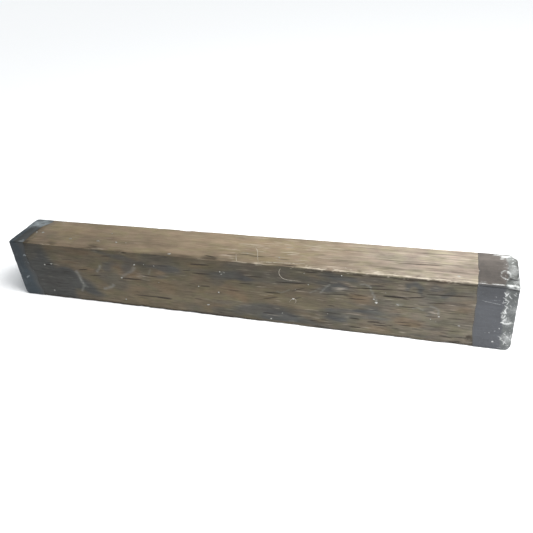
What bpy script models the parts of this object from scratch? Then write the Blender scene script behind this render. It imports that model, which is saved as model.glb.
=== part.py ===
"""A sawn hardwood stick whose two ends have been dipped in wax.

Metres, +Z up.  X runs along the stick, Y across its narrow side and Z up its wide side.
The origin is the middle of the rectangle that the stick rests on.

Three pieces, each a solid of its own:
    wood_stick       the sawn blank, with eased edges and a shallow seat under each coat
    wax_coat_right   a wax cup over the +X end, with a nearly straight rim
    wax_coat_left    a shallower wax cup over the -X end, with an uneven rim
"""

import math

import bmesh
import bpy

MM = 0.001

# Driving dimensions
LENGTH = 150.0 * MM  # over both wax coats
WIDTH = 15.4 * MM  # along Y, over the wax
HEIGHT = 20.0 * MM  # along Z, over the wax
COAT_PROUD = 0.1 * MM  # how far a coat stands out from the bare wood
COAT_WALL = 0.3 * MM  # thickness of a coat on the four long sides
COAT_GAP = 0.3 * MM  # clearance between a coat and the wood, all round
RIGHT_END_WALL = 0.9 * MM  # thickness of the wax over the +X end face
LEFT_END_WALL = 0.8 * MM  # thickness of the wax over the -X end face

# Rounding and edges
WOOD_EDGE_RADIUS = 0.45 * MM  # the bare wood's long edges
SEAT_EDGE_RADIUS = 0.35 * MM  # the long edges of the wood's seats and of a coat's inside
COAT_EDGE_RADIUS = 0.6 * MM  # a coat's outer long edges
COAT_END_RADIUS = 1.0 * MM  # where a coat's sides roll over into its end
LIP_LENGTH = 0.8 * MM  # a coat thins to be flush with the bare wood over this length at its rim
END_CHAMFER = 0.25 * MM  # the end edges of the wood inside a coat
CORNER_STEPS = 4  # facets round each long edge
ROLL_STEPS = 4  # facets from a coat's side to its end
SIDE_STEPS = 6  # facets across each long side, so that a rim can wander

# How far each coat reaches along the stick from its end face.  There are three depths for each
# long side, at its start and at one and two thirds of it, walking round the stick: up the front
# (-Y), back over the top (+Z), down the back (+Y) and forward under the bottom (-Z).
DEPTHS_PER_SIDE = 3
RIGHT_COAT_DEPTHS = [9.4 * MM, 9.8 * MM, 9.9 * MM,  # front
                     9.9 * MM, 9.8 * MM, 9.9 * MM,  # top
                     9.9 * MM, 9.7 * MM, 9.5 * MM,  # back
                     9.4 * MM, 9.3 * MM, 9.3 * MM]  # underside
LEFT_COAT_DEPTHS = [7.3 * MM, 6.2 * MM, 5.3 * MM,
                    5.3 * MM, 5.1 * MM, 5.2 * MM,
                    6.9 * MM, 6.8 * MM, 6.3 * MM,
                    6.6 * MM, 7.1 * MM, 7.4 * MM]

# Finishes: base colour and roughness
WOOD_FINISH = ((0.165, 0.125, 0.085, 1.0), 0.62)
RIGHT_WAX_FINISH = ((0.125, 0.130, 0.130, 1.0), 0.38)
LEFT_WAX_FINISH = ((0.085, 0.095, 0.105, 1.0), 0.40)

# Half sizes (Y, Z) of the cross-sections, from the outside in
COAT_HALF = (WIDTH / 2, HEIGHT / 2)
WOOD_HALF = tuple(half - COAT_PROUD for half in COAT_HALF)
CAVITY_HALF = tuple(half - COAT_WALL for half in COAT_HALF)
SEAT_HALF = tuple(half - COAT_GAP for half in CAVITY_HALF)

# The section's corners in walking order, as signs of (Y, Z), from the bottom of the front
CORNERS = [(-1, -1), (-1, 1), (1, 1), (1, -1)]


def section(halves, radius, inset=0.0):
    """The points (walk, y, z) round a rectangle with round corners.

    walk rises by one for each long side and is constant round a corner.
    """
    reach_y, reach_z = (half - inset - radius for half in halves)
    arcs = []
    for side, (sign_y, sign_z) in enumerate(CORNERS):
        first_angle = math.radians(270 - 90 * side)
        arc = []
        for step in range(CORNER_STEPS + 1):
            angle = first_angle - math.pi / 2 * step / CORNER_STEPS
            arc.append((sign_y * reach_y + radius * math.cos(angle),
                        sign_z * reach_z + radius * math.sin(angle)))
        arcs.append(arc)
    points = []
    for side, arc in enumerate(arcs):
        points += [(side, y, z) for y, z in arc]
        start_y, start_z = arc[-1]
        end_y, end_z = arcs[(side + 1) % len(arcs)][0]
        for step in range(1, SIDE_STEPS):
            share = step / SIDE_STEPS
            points.append((side + share,
                           start_y + (end_y - start_y) * share,
                           start_z + (end_z - start_z) * share))
    return points


def depth_at(depths, walk):
    """A coat's depth at a place round the stick, eased between the depths on either side."""
    place = walk * DEPTHS_PER_SIDE
    index = int(place)
    eased = (1 - math.cos(math.pi * (place - index))) / 2
    start = depths[index % len(depths)]
    end = depths[(index + 1) % len(depths)]
    return start + (end - start) * eased


def ring(bm, points, x_at):
    """A loop of vertices on a section, each at the x that x_at gives for its walk."""
    return [bm.verts.new((x_at(walk), y, z)) for walk, y, z in points]


def skin(bm, rings):
    """Quads that join each ring to the next."""
    for near, far in zip(rings, rings[1:]):
        for i in range(len(near)):
            j = (i + 1) % len(near)
            bm.faces.new((near[i], near[j], far[j], far[i]))


def finish_object(name, bm, finish, location, parent):
    """Makes the named object from a closed bmesh, with its own material."""
    bmesh.ops.recalc_face_normals(bm, faces=bm.faces)
    mesh = bpy.data.meshes.new(name)
    bm.to_mesh(mesh)
    bm.free()
    mesh.shade_smooth()
    mesh.set_sharp_from_angle(angle=math.radians(35))
    colour, roughness = finish
    material = bpy.data.materials.new(name)
    material.use_nodes = True
    shader = material.node_tree.nodes["Principled BSDF"]
    shader.inputs["Base Color"].default_value = colour
    shader.inputs["Roughness"].default_value = roughness
    shader.inputs["Metallic"].default_value = 0.0
    mesh.materials.append(material)
    obj = bpy.data.objects.new(name, mesh)
    bpy.context.scene.collection.objects.link(obj)
    obj.parent = parent
    obj.location = location
    return obj


def make_wood(parent):
    """The blank: a full-size body between two seats that are shallow steps under the coats."""
    bm = bmesh.new()
    body = section(WOOD_HALF, WOOD_EDGE_RADIUS)
    seat = section(SEAT_HALF, SEAT_EDGE_RADIUS)
    seat_end = section(SEAT_HALF, SEAT_EDGE_RADIUS, inset=END_CHAMFER)
    left_tip = -LENGTH / 2 + LEFT_END_WALL + COAT_GAP
    right_tip = LENGTH / 2 - RIGHT_END_WALL - COAT_GAP

    def left_shoulder(walk):
        return -LENGTH / 2 + depth_at(LEFT_COAT_DEPTHS, walk) + COAT_GAP

    def right_shoulder(walk):
        return LENGTH / 2 - depth_at(RIGHT_COAT_DEPTHS, walk) - COAT_GAP

    rings = [
        ring(bm, seat_end, lambda walk: left_tip),
        ring(bm, seat, lambda walk: left_tip + END_CHAMFER),
        ring(bm, seat, left_shoulder),
        ring(bm, body, left_shoulder),
        ring(bm, body, right_shoulder),
        ring(bm, seat, right_shoulder),
        ring(bm, seat, lambda walk: right_tip - END_CHAMFER),
        ring(bm, seat_end, lambda walk: right_tip),
    ]
    skin(bm, rings)
    bm.faces.new(rings[0])
    bm.faces.new(rings[-1])
    return finish_object("wood_stick", bm, WOOD_FINISH, (0, 0, HEIGHT / 2), parent)


def make_coat(name, direction, depths, end_wall, finish, parent):
    """A cup of wax over the end that direction (+1 or -1 along X) points to.

    Its own origin is the middle of its outer end face.
    """
    bm = bmesh.new()

    def rim(walk):
        return -direction * depth_at(depths, walk)

    def lip_end(walk):
        return -direction * (depth_at(depths, walk) - LIP_LENGTH)

    outside = [
        ring(bm, section(WOOD_HALF, WOOD_EDGE_RADIUS), rim),
        ring(bm, section(COAT_HALF, COAT_EDGE_RADIUS), lip_end),
    ]
    for step in range(ROLL_STEPS + 1):
        angle = math.pi / 2 * step / ROLL_STEPS
        inset = COAT_END_RADIUS * (1 - math.cos(angle))
        below_tip = COAT_END_RADIUS * (1 - math.sin(angle))
        outline = section(COAT_HALF, COAT_EDGE_RADIUS, inset=inset)
        outside.append(ring(bm, outline, lambda walk: -direction * below_tip))
    cavity = section(CAVITY_HALF, SEAT_EDGE_RADIUS)
    inside = [
        ring(bm, cavity, rim),
        ring(bm, cavity, lambda walk: -direction * end_wall),
    ]
    skin(bm, outside)
    skin(bm, inside)
    skin(bm, [outside[0], inside[0]])
    bm.faces.new(outside[-1])
    bm.faces.new(inside[-1])
    return finish_object(name, bm, finish, (direction * LENGTH / 2, 0, HEIGHT / 2), parent)


def main():
    for obj in list(bpy.data.objects):
        bpy.data.objects.remove(obj, do_unlink=True)
    stick = bpy.data.objects.new("stick", None)
    bpy.context.scene.collection.objects.link(stick)
    make_wood(stick)
    make_coat("wax_coat_right", 1, RIGHT_COAT_DEPTHS, RIGHT_END_WALL, RIGHT_WAX_FINISH, stick)
    make_coat("wax_coat_left", -1, LEFT_COAT_DEPTHS, LEFT_END_WALL, LEFT_WAX_FINISH, stick)


main()
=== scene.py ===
"""Looks of a sawn hardwood stick whose two ends are dipped in wax.

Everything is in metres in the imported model's frame: X along the stick, Y across it, Z up.
The three CAD solids are replaced by finely worked meshes of the same sizes, and two small
pieces lie on them: specks of spilt wax and a few loose hair-thin fibres.
"""

import math

import bpy
import numpy as np
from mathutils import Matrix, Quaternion, Vector


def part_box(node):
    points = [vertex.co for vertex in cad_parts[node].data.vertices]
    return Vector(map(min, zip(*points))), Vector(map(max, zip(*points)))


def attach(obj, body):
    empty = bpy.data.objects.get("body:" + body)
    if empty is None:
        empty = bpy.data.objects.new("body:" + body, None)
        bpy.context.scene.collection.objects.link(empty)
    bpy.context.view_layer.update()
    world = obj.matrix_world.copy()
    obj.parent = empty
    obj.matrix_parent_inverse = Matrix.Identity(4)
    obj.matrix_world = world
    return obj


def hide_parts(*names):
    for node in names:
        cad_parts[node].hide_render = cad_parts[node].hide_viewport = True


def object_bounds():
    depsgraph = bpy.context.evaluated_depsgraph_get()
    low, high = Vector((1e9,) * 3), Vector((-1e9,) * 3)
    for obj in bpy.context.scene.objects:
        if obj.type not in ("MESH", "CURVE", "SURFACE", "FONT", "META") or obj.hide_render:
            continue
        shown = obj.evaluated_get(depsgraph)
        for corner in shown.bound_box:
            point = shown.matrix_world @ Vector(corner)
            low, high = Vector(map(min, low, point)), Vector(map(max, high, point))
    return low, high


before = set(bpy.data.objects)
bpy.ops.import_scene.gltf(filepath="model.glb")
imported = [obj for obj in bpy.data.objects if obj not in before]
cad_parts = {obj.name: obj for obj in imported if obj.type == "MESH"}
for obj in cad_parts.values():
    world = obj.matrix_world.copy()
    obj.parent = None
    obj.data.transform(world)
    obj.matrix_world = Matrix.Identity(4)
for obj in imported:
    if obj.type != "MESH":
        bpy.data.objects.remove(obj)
CAD_LOW, CAD_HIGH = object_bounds()

MM = 0.001

# ------------------------------------------------------------ sizes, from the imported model
LENGTH = CAD_HIGH.x - CAD_LOW.x
MID_HEIGHT = (CAD_LOW.z + CAD_HIGH.z) / 2
COAT_HALF = ((CAD_HIGH.y - CAD_LOW.y) / 2, (CAD_HIGH.z - CAD_LOW.z) / 2)
WOOD_LOW, WOOD_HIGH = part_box("wood_stick")
WOOD_HALF = ((WOOD_HIGH.y - WOOD_LOW.y) / 2, (WOOD_HIGH.z - WOOD_LOW.z) / 2)
RIGHT_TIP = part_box("wax_coat_right")[1].x
LEFT_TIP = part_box("wax_coat_left")[0].x

# How far each wax coat reaches from its end face: three depths for each long side, at its start
# and at one and two thirds of it, walking up the front, over the top, down the back and under.
DEPTHS_PER_SIDE = 3
RIGHT_COAT_DEPTHS = np.array([9.4, 9.8, 9.9, 9.9, 9.8, 9.9, 9.9, 9.7, 9.5, 9.4, 9.3, 9.3]) * MM
LEFT_COAT_DEPTHS = np.array([7.3, 6.2, 5.3, 5.3, 5.1, 5.2, 6.9, 6.8, 6.3, 6.6, 7.1, 7.4]) * MM

WOOD_SKIN = tuple(half - 0.02 * MM for half in COAT_HALF)  # the sawn faces, before any wear
WOOD_EDGE_RADIUS = 0.3 * MM
COAT_EDGE_RADIUS = 0.4 * MM
FILM_DIP = 0.03 * MM  # how far the thin part of a coat lies below its thick bead
SEAT_STEP = 0.5 * MM  # how far the wood is stepped in under a coat
SEAT_START = 0.15 * MM  # how far under a coat that step is
SEAT_LEAN = 0.01 * MM  # how far the step leans
SEAT_CHAMFER = 0.25 * MM  # on the edges of the wood's hidden ends
COAT_INSIDE = 0.35 * MM  # the coat's inner surface, below its nominal outside
COAT_FLOOR = 0.7 * MM  # the same at the end face


# ------------------------------------------------------------ noise and small helpers
def add_object(name, data):
    """Adds an object with this mesh, light or camera to the scene."""
    obj = bpy.data.objects.new(name, data)
    bpy.context.scene.collection.objects.link(obj)
    return obj


def smooth_noise(points, size, seed, waves=40):
    """A smooth random field of about -1 to 1 over (n, 3) points; size is the blob size per axis."""
    rng = np.random.default_rng(seed)
    directions = rng.normal(size=(waves, 3))
    directions /= np.linalg.norm(directions, axis=1)[:, None]
    turns = rng.uniform(0.35, 1.0, waves)[:, None] * directions / (2 * np.array(size))
    phase = rng.uniform(0, 2 * math.pi, waves)
    total = np.zeros(len(points))
    for turn, start in zip(turns, phase):
        total += np.sin(2 * math.pi * (points @ turn) + start)
    return total / math.sqrt(waves)


def noise_on(points, size, seed, waves=40):
    """smooth_noise for a grid of points."""
    return smooth_noise(points.reshape(-1, 3), size, seed, waves).reshape(points.shape[:-1])


def ease(value, low, high):
    """0 below low, 1 above high, and a smooth step in between."""
    share = np.clip((value - low) / (high - low), 0, 1)
    return share * share * (3 - 2 * share)


def bell(value, width):
    """1 where value is 0, fading smoothly on both sides over about width."""
    return np.exp(-((value / width) ** 2))


def stacked(*columns):
    """Points or directions from their x, y and z."""
    return np.stack(np.broadcast_arrays(*columns), axis=-1)


# ------------------------------------------------------------ walking round the stick
CORNERS = [(-1, -1), (-1, 1), (1, 1), (1, -1)]  # signs of (Y, Z), from the bottom of the front
SIDES = ("front", "top", "back", "bottom")
ARC_STEPS = 12


class Outline:
    """A rectangle with round corners, walked by arc length from the bottom of the front."""

    def __init__(self, halves, radius):
        self.halves = halves
        self.radius = radius
        rows = []
        for side, (sign_y, sign_z) in enumerate(CORNERS):
            for step in range(ARC_STEPS + 1):
                angle = math.radians(270 - 90 * side) - math.pi / 2 * step / ARC_STEPS
                normal_y, normal_z = math.cos(angle), math.sin(angle)
                y = sign_y * (halves[0] - radius) + radius * normal_y
                z = sign_z * (halves[1] - radius) + radius * normal_z
                rows.append((side, y, z, normal_y, normal_z))
        rows.append((len(CORNERS),) + rows[0][1:])
        self.rows = np.array(rows)
        steps = np.hypot(np.diff(self.rows[:, 1]), np.diff(self.rows[:, 2]))
        self.reached = np.concatenate([[0], np.cumsum(steps)])
        self.girth = self.reached[-1]

    def at(self, s):
        """Walk (one for each side), y, z and the outward normal's y and z, at arc lengths s."""
        s = np.mod(s, self.girth)
        return [np.interp(s, self.reached, self.rows[:, column]) for column in range(5)]

    def place(self, side, across):
        """The arc length of a place on a side.

        across is the height above the underside on the front and back, and Y on the others.
        """
        number = SIDES.index(side)
        start = self.reached[(ARC_STEPS + 1) * number + ARC_STEPS]
        half_y, half_z = self.halves
        run = {
            "front": half_z + (across - MID_HEIGHT),
            "top": half_y + across,
            "back": half_z - (across - MID_HEIGHT),
            "bottom": half_y - across,
        }[side]
        return start + run - self.radius

    def corner(self, number):
        """The arc length of the middle of a corner."""
        first = (ARC_STEPS + 1) * number
        return (self.reached[first] + self.reached[first + ARC_STEPS]) / 2


def depth_at(depths, walk):
    """A coat's depth at places round the stick, eased between the depths on either side."""
    position = np.asarray(walk) * DEPTHS_PER_SIDE
    index = np.floor(position).astype(int)
    eased = (1 - np.cos(np.pi * (position - index))) / 2
    start = depths[index % len(depths)]
    end = depths[(index + 1) % len(depths)]
    return start + (end - start) * eased


def rim_x(end, walk, y, z):
    """Where the coat on the end (+1 or -1) stops: its depth, and a little waver where it ran."""
    spots = stacked(0.0, y, z)
    if end > 0:
        waver = 0.10 * MM * smooth_noise(spots, (1, 1.6 * MM, 1.6 * MM), 21)
        return RIGHT_TIP - depth_at(RIGHT_COAT_DEPTHS, walk) + waver
    waver = 0.25 * MM * smooth_noise(spots, (1, 1.8 * MM, 1.8 * MM), 22)
    return LEFT_TIP + depth_at(LEFT_COAT_DEPTHS, walk) + waver


class Skin:
    """A grid of surface points, rows along the stick by columns round it, with painted layers."""

    def __init__(self, outline, s, x):
        self.outline = outline
        self.s = s
        self.x = x
        self.row_low = x.min(axis=1)
        self.row_high = x.max(axis=1)
        self.layers = {}

    def layer(self, name):
        if name not in self.layers:
            self.layers[name] = np.zeros(self.x.shape)
        return self.layers[name]

    def near(self, x_low, x_high, s, reach):
        """Rows and columns near a place, with their x and signed arc length from s."""
        girth = self.outline.girth
        gap = np.mod(self.s - s + girth / 2, girth) - girth / 2
        rows = np.nonzero((self.row_high > x_low) & (self.row_low < x_high))[0]
        columns = np.nonzero(np.abs(gap) < reach)[0]
        cells = np.ix_(rows, columns)
        return cells, self.x[cells], np.broadcast_to(gap[columns], (len(rows), len(columns)))

    def stroke(self, name, start, end, width, strength, bend=0.0, blunt=0.5):
        """A line between two (x, s) places, with soft sides and tapering ends."""
        (x0, s0), (x1, s1) = start, end
        run_x, run_s = x1 - x0, s1 - s0
        length = math.hypot(run_x, run_s)
        margin = 3 * width + abs(bend)
        low, high = min(x0, x1) - margin, max(x0, x1) + margin
        cells, x, gap = self.near(low, high, s0, abs(run_s) + margin)
        share = ((x - x0) * run_x + gap * run_s) / length ** 2
        body = np.clip(4 * share * (1 - share), 0, 1)
        aside = (gap * run_x - (x - x0) * run_s) / length - bend * body
        mark = strength * body ** blunt * bell(aside, width)
        layer = self.layer(name)
        layer[cells] = np.maximum(layer[cells], mark)

    def dash(self, name, x, s, run, rise, width, strength, bend=0.0):
        """A stroke from its middle and how far it runs along the stick and rises round it."""
        start, end = (x - run / 2, s - rise / 2), (x + run / 2, s + rise / 2)
        self.stroke(name, start, end, width, strength, bend=bend)

    def line(self, name, side, start, end, width, strength, **shape):
        """A stroke between two places on a side, each x and height or Y, in millimetres."""
        start, end = ((x * MM, self.outline.place(side, across * MM)) for x, across in (start, end))
        self.stroke(name, start, end, width * MM, strength, **shape)

    def patch(self, name, side, x, across, half_x, half_s, amount, seed, ragged):
        """A blob on a side: x, height or Y and half sizes in millimetres."""
        s = self.outline.place(side, across * MM)
        self.blob(name, x * MM, s, half_x * MM, half_s * MM, amount, seed, ragged)

    def blob(self, name, x, s, half_x, half_s, amount, seed, ragged):
        """An oval patch with a ragged edge, added to a layer."""
        cells, near_x, gap = self.near(x - 2 * half_x, x + 2 * half_x, s, 2 * half_s)
        across, up = (near_x - x) / half_x, gap / half_s
        spots = stacked(across, up, 0.0)
        reach = np.hypot(across, up) + ragged * noise_on(spots, (0.5, 0.5, 1), seed, 24)
        self.layer(name)[cells] += amount * (1 - ease(reach, 0.3, 1.3))


# ------------------------------------------------------------ large-scale shape
# Corners that handling has rounded: where, how far in, and over what distance.
KNOCKED_CORNERS = [
    ((1, 1, 1), 1.0 * MM, 1.5 * MM),
    ((1, -1, -1), 0.55 * MM, 0.9 * MM),
    ((1, -1, 1), 0.10 * MM, 0.8 * MM),
    ((1, 1, -1), 0.5 * MM, 1.3 * MM),
    ((-1, -1, 1), 0.10 * MM, 0.8 * MM),
    ((-1, -1, -1), 0.25 * MM, 0.8 * MM),
    ((-1, 1, 1), 0.20 * MM, 0.9 * MM),
    ((-1, 1, -1), 0.5 * MM, 1.3 * MM),
]


def knock(points):
    """Pushes the material near the knocked corners towards the stick's middle."""
    moved = points.copy()
    for signs, amount, reach in KNOCKED_CORNERS:
        signs = np.array(signs)
        corner = signs * np.array([LENGTH / 2, *COAT_HALF]) + np.array([0, 0, MID_HEIGHT])
        nearness = np.exp(-(np.linalg.norm(points - corner, axis=-1) / reach) ** 2)
        moved -= nearness[..., None] * amount * signs / math.sqrt(3)
    return moved


def sway(points):
    """How far the sawn faces dip below flat, in metres, slowly varying."""
    return 0.02 * MM * (1 + noise_on(points, (14 * MM, 4 * MM, 4 * MM), 31))


# ------------------------------------------------------------ the wood
COLUMN_STEPS = {"front": 0.155 * MM, "top": 0.165 * MM, "back": 0.21 * MM, "bottom": 0.4 * MM}
WOOD_ROWS = 272

# Open vessel lines that stand out, by side: x at both ends, height or Y at both ends, half width
# (all in millimetres), strength.
VESSEL_LINES = {
    "front": [
        (-64.5, -60.5, 12.4, 12.7, 0.17, 0.9), (-57, -53, 15, 15.3, 0.14, 0.6),
        (-51.5, -48.3, 11.7, 12.1, 0.18, 1), (-48, -43.8, 10, 10.4, 0.16, 0.8),
        (-42, -38.5, 17.6, 17.9, 0.18, 0.8), (-37, -29.5, 10.2, 10.3, 0.2, 1),
        (-29.7, -24, 12, 12.1, 0.16, 0.8), (-34, -20.5, 4.4, 4.7, 0.17, 0.9),
        (-26.2, -20.8, 4.5, 4.3, 0.22, 1), (-23.5, -20, 16.2, 16, 0.15, 0.6),
        (-12.8, -6.8, 17.7, 17.9, 0.2, 1), (-12.5, -6.8, 14.7, 14.8, 0.19, 0.9),
        (-15.6, -12.8, 15.2, 15.5, 0.15, 0.7), (-10.6, -7.4, 10.4, 10.5, 0.17, 0.9),
        (-13.2, -10.8, 5.7, 5.5, 0.17, 0.7), (4, 9, 15.4, 15.5, 0.17, 0.8),
        (9, 13.8, 10.6, 10.7, 0.19, 1), (8.5, 13, 8.3, 9.3, 0.2, 0.8),
        (12.5, 21.8, 14.4, 14.8, 0.18, 1), (21, 24.8, 18.6, 18.7, 0.17, 0.9),
        (7.8, 11.3, 3.2, 3.4, 0.17, 0.9), (17, 21, 11.8, 13.4, 0.22, 0.7),
        (24, 32, 17.8, 18.1, 0.15, 0.6), (32.5, 45.5, 14.9, 15.6, 0.17, 1),
        (45, 52.5, 15.8, 15.3, 0.16, 0.8), (42, 48.5, 13.35, 13.4, 0.3, 1.2),
        (48, 52.8, 13.5, 14.2, 0.2, 1), (53, 64.8, 15.2, 15.8, 0.18, 1),
        (33, 38.5, 13, 12.6, 0.16, 0.7), (33, 36, 4.9, 4.8, 0.22, 1), (38, 41.5, 4.2, 4.5, 0.22, 1),
        (45, 49.5, 5.2, 5.4, 0.17, 0.8), (24.5, 31, 5.9, 5.7, 0.16, 0.7),
        (57, 60.5, 2.4, 2.1, 0.19, 0.8), (27, 33, 12.2, 12.6, 0.18, 0.9),
        (33, 38, 11.4, 11.5, 0.16, 0.8), (38.5, 42.5, 16.2, 16.5, 0.18, 0.9),
        (46, 51, 10.4, 10.6, 0.16, 0.8), (54, 58, 12.6, 12.9, 0.16, 0.8),
        (58.5, 63.5, 8.2, 8.4, 0.15, 0.7), (33, 36.5, 1.8, 1.9, 0.2, 0.9),
        (39.5, 43.5, 3.4, 3.5, 0.2, 0.9), (46.5, 50, 4.4, 4.5, 0.18, 0.8),
        (1.5, 6, 12.7, 12.9, 0.18, 0.8), (16.5, 20, 9, 10.2, 0.2, 0.7),
        (-2, 1.5, 9.9, 10.1, 0.16, 0.6), (-58, -54.5, 10.4, 10.6, 0.16, 0.6),
        (-46, -42.5, 12.3, 12.4, 0.16, 0.6),
    ],
    "top": [
        (-61.5, -57.5, -6.1, -6.5, 0.26, 0.4), (-47, -43.5, -5.8, -6.3, 0.28, 0.5),
        (-8.6, -5.2, -5.6, -6.2, 0.26, 0.9), (0.5, 5.6, -3.4, -3.3, 0.2, 0.8),
        (-2.5, 1, -4.3, -3.9, 0.18, 0.7), (8.5, 12, -3.2, -3.3, 0.16, 0.6),
        (14.5, 19, -6.9, -6.7, 0.24, 0.9), (22, 25.5, -0.6, -0.2, 0.16, 0.7),
        (27, 34.5, -2.3, -2, 0.15, 0.6), (44, 53.5, -1.2, -0.8, 0.17, 0.7),
        (47, 56, 1.1, 1.4, 0.14, 0.6), (29, 36, 3.1, 3.3, 0.15, 0.5),
        (46.5, 56.5, -1, -0.6, 0.22, 0.8), (39, 46, -0.2, 0, 0.18, 0.5),
        (26.5, 35.5, -3, -2.6, 0.16, 0.6), (52, 63.5, -3.3, -3, 0.18, 0.6),
        (40.5, 52, -4.3, -4, 0.18, 0.7), (4, 9, -3.9, -3.7, 0.2, 0.8),
        (12.5, 16, -4.3, -4.1, 0.18, 0.8),
    ],
}

# Pale and dark streaks of torn fibre on the dry part: layer, side, the x where they start, how
# many, the longest (both in millimetres), strength.
STREAKS = [
    ("pale", "front", 4, 60, 6, 0.55), ("pore", "front", 22, 75, 4.5, 0.9),
    ("pale", "top", -4, 80, 10, 1), ("pore", "top", 10, 50, 6, 0.4), ("pale", "back", 4, 50, 6, 0.6),
    ("pore", "back", 22, 40, 5, 0.6),
]

# Stains on the front and top: layer, side, x, height or Y, half length, half height (all in
# millimetres), amount.
PATCHES = [
    ("grey", "front", -66, 9, 7, 10, 0.75), ("grey", "front", -56, 5, 8, 5, 0.7),
    ("grey", "front", -37.5, 15.2, 5.5, 2.6, 0.7), ("grey", "front", -59, 8, 6.5, 5.5, 0.4),
    ("dark", "front", -60, 7.5, 5, 5, 0.2), ("grey", "front", 7, 16.2, 12, 2.6, 0.5),
    ("dark", "front", 8, 15.6, 7, 3, 0.18), ("grey", "front", 36, 17.5, 8, 1.5, 0.45),
    ("dark", "front", -52, 17.6, 6, 1.8, 0.22), ("dark", "front", -37, 16.8, 4, 2, 0.2),
    ("grey", "front", -48, 2, 6, 2, 0.35), ("grey", "front", -20.5, 15.3, 5, 2, 0.45),
    ("grey", "front", -3, 14.5, 6, 2.4, 0.4), ("grey", "front", -6, 2.8, 9, 2.2, 0.5),
    ("grey", "front", 17, 3.2, 14, 3.2, 0.8), ("grey", "front", 25, 15.8, 7, 2.4, 0.55),
    ("grey", "front", 30, 5, 9, 2, 0.35), ("grey", "front", 39, 8.3, 4, 1.5, 0.6),
    ("grey", "front", 50.2, 17.2, 2.2, 1.7, 0.9), ("grey", "front", 57, 16, 7, 2.6, 0.3),
    ("grey", "front", 57.5, 17, 2.2, 1.6, 0.5), ("grey", "front", 54.5, 9.4, 2.4, 1.6, 0.5),
    ("grey", "front", 56, 2.4, 7, 1.6, 0.45), ("grey", "front", 30, 16.8, 5, 2, 0.45),
    ("grey", "front", 27, 3, 4, 2.2, 0.35), ("rust", "front", -33.5, 12, 4.2, 3.2, 0.8),
    ("rust", "front", -53, 12.8, 5.5, 1.5, 0.55), ("rust", "front", -51, 18, 7, 1.5, 0.5),
    ("rust", "front", -22, 8.5, 5.5, 2.4, 0.5), ("rust", "front", 1, 8.9, 3.6, 2.4, 0.6),
    ("rust", "front", 36, 11.4, 4.2, 1.6, 0.6), ("rust", "front", 48, 5.6, 5, 1.8, 0.65),
    ("rust", "front", 60, 12.3, 5, 2.2, 0.45), ("rust", "front", 41, 2.4, 4, 1.6, 0.4),
    ("grey", "top", -68, 5.6, 3, 2.4, 0.25), ("dark", "top", -69.7, -1.5, 1.3, 7.5, 0.7),
    ("rust", "top", -57, 0.5, 9, 3, 0.35), ("rust", "top", -65, -4.5, 3, 1.6, 0.45),
    ("dark", "top", -52, -1.5, 12, 4, 0.12), ("dark", "top", -30, 1, 14, 4, 0.08),
    ("dark", "front", 64.6, 2.6, 0.9, 1.1, 1.1), ("dark", "front", 8.5, 12.7, 2, 0.9, 0.35),
    ("dark", "top", -60, -6.2, 3, 1.3, 0.3), ("dark", "top", -45, -6.2, 2.8, 1.4, 0.38),
    ("dark", "top", -6.5, -6.5, 3, 1.2, 0.5), ("dark", "top", -20, -7.2, 8, 0.8, 0.35),
    ("dark", "top", 14, -7.2, 6, 0.7, 0.55), ("pale", "top", 39.8, -6.3, 2.2, 0.6, 0.9),
    ("pale", "top", 52, 3.4, 1.9, 0.6, 0.6), ("pale", "top", 60.4, -5.1, 1.2, 0.6, 0.8),
    ("pale", "top", 31, -6, 6, 0.5, 0.5), ("pale", "front", 31, 14.2, 2.6, 0.5, 0.5),
    ("pale", "front", 55.5, 9.8, 1.6, 0.4, 0.45),
]

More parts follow.
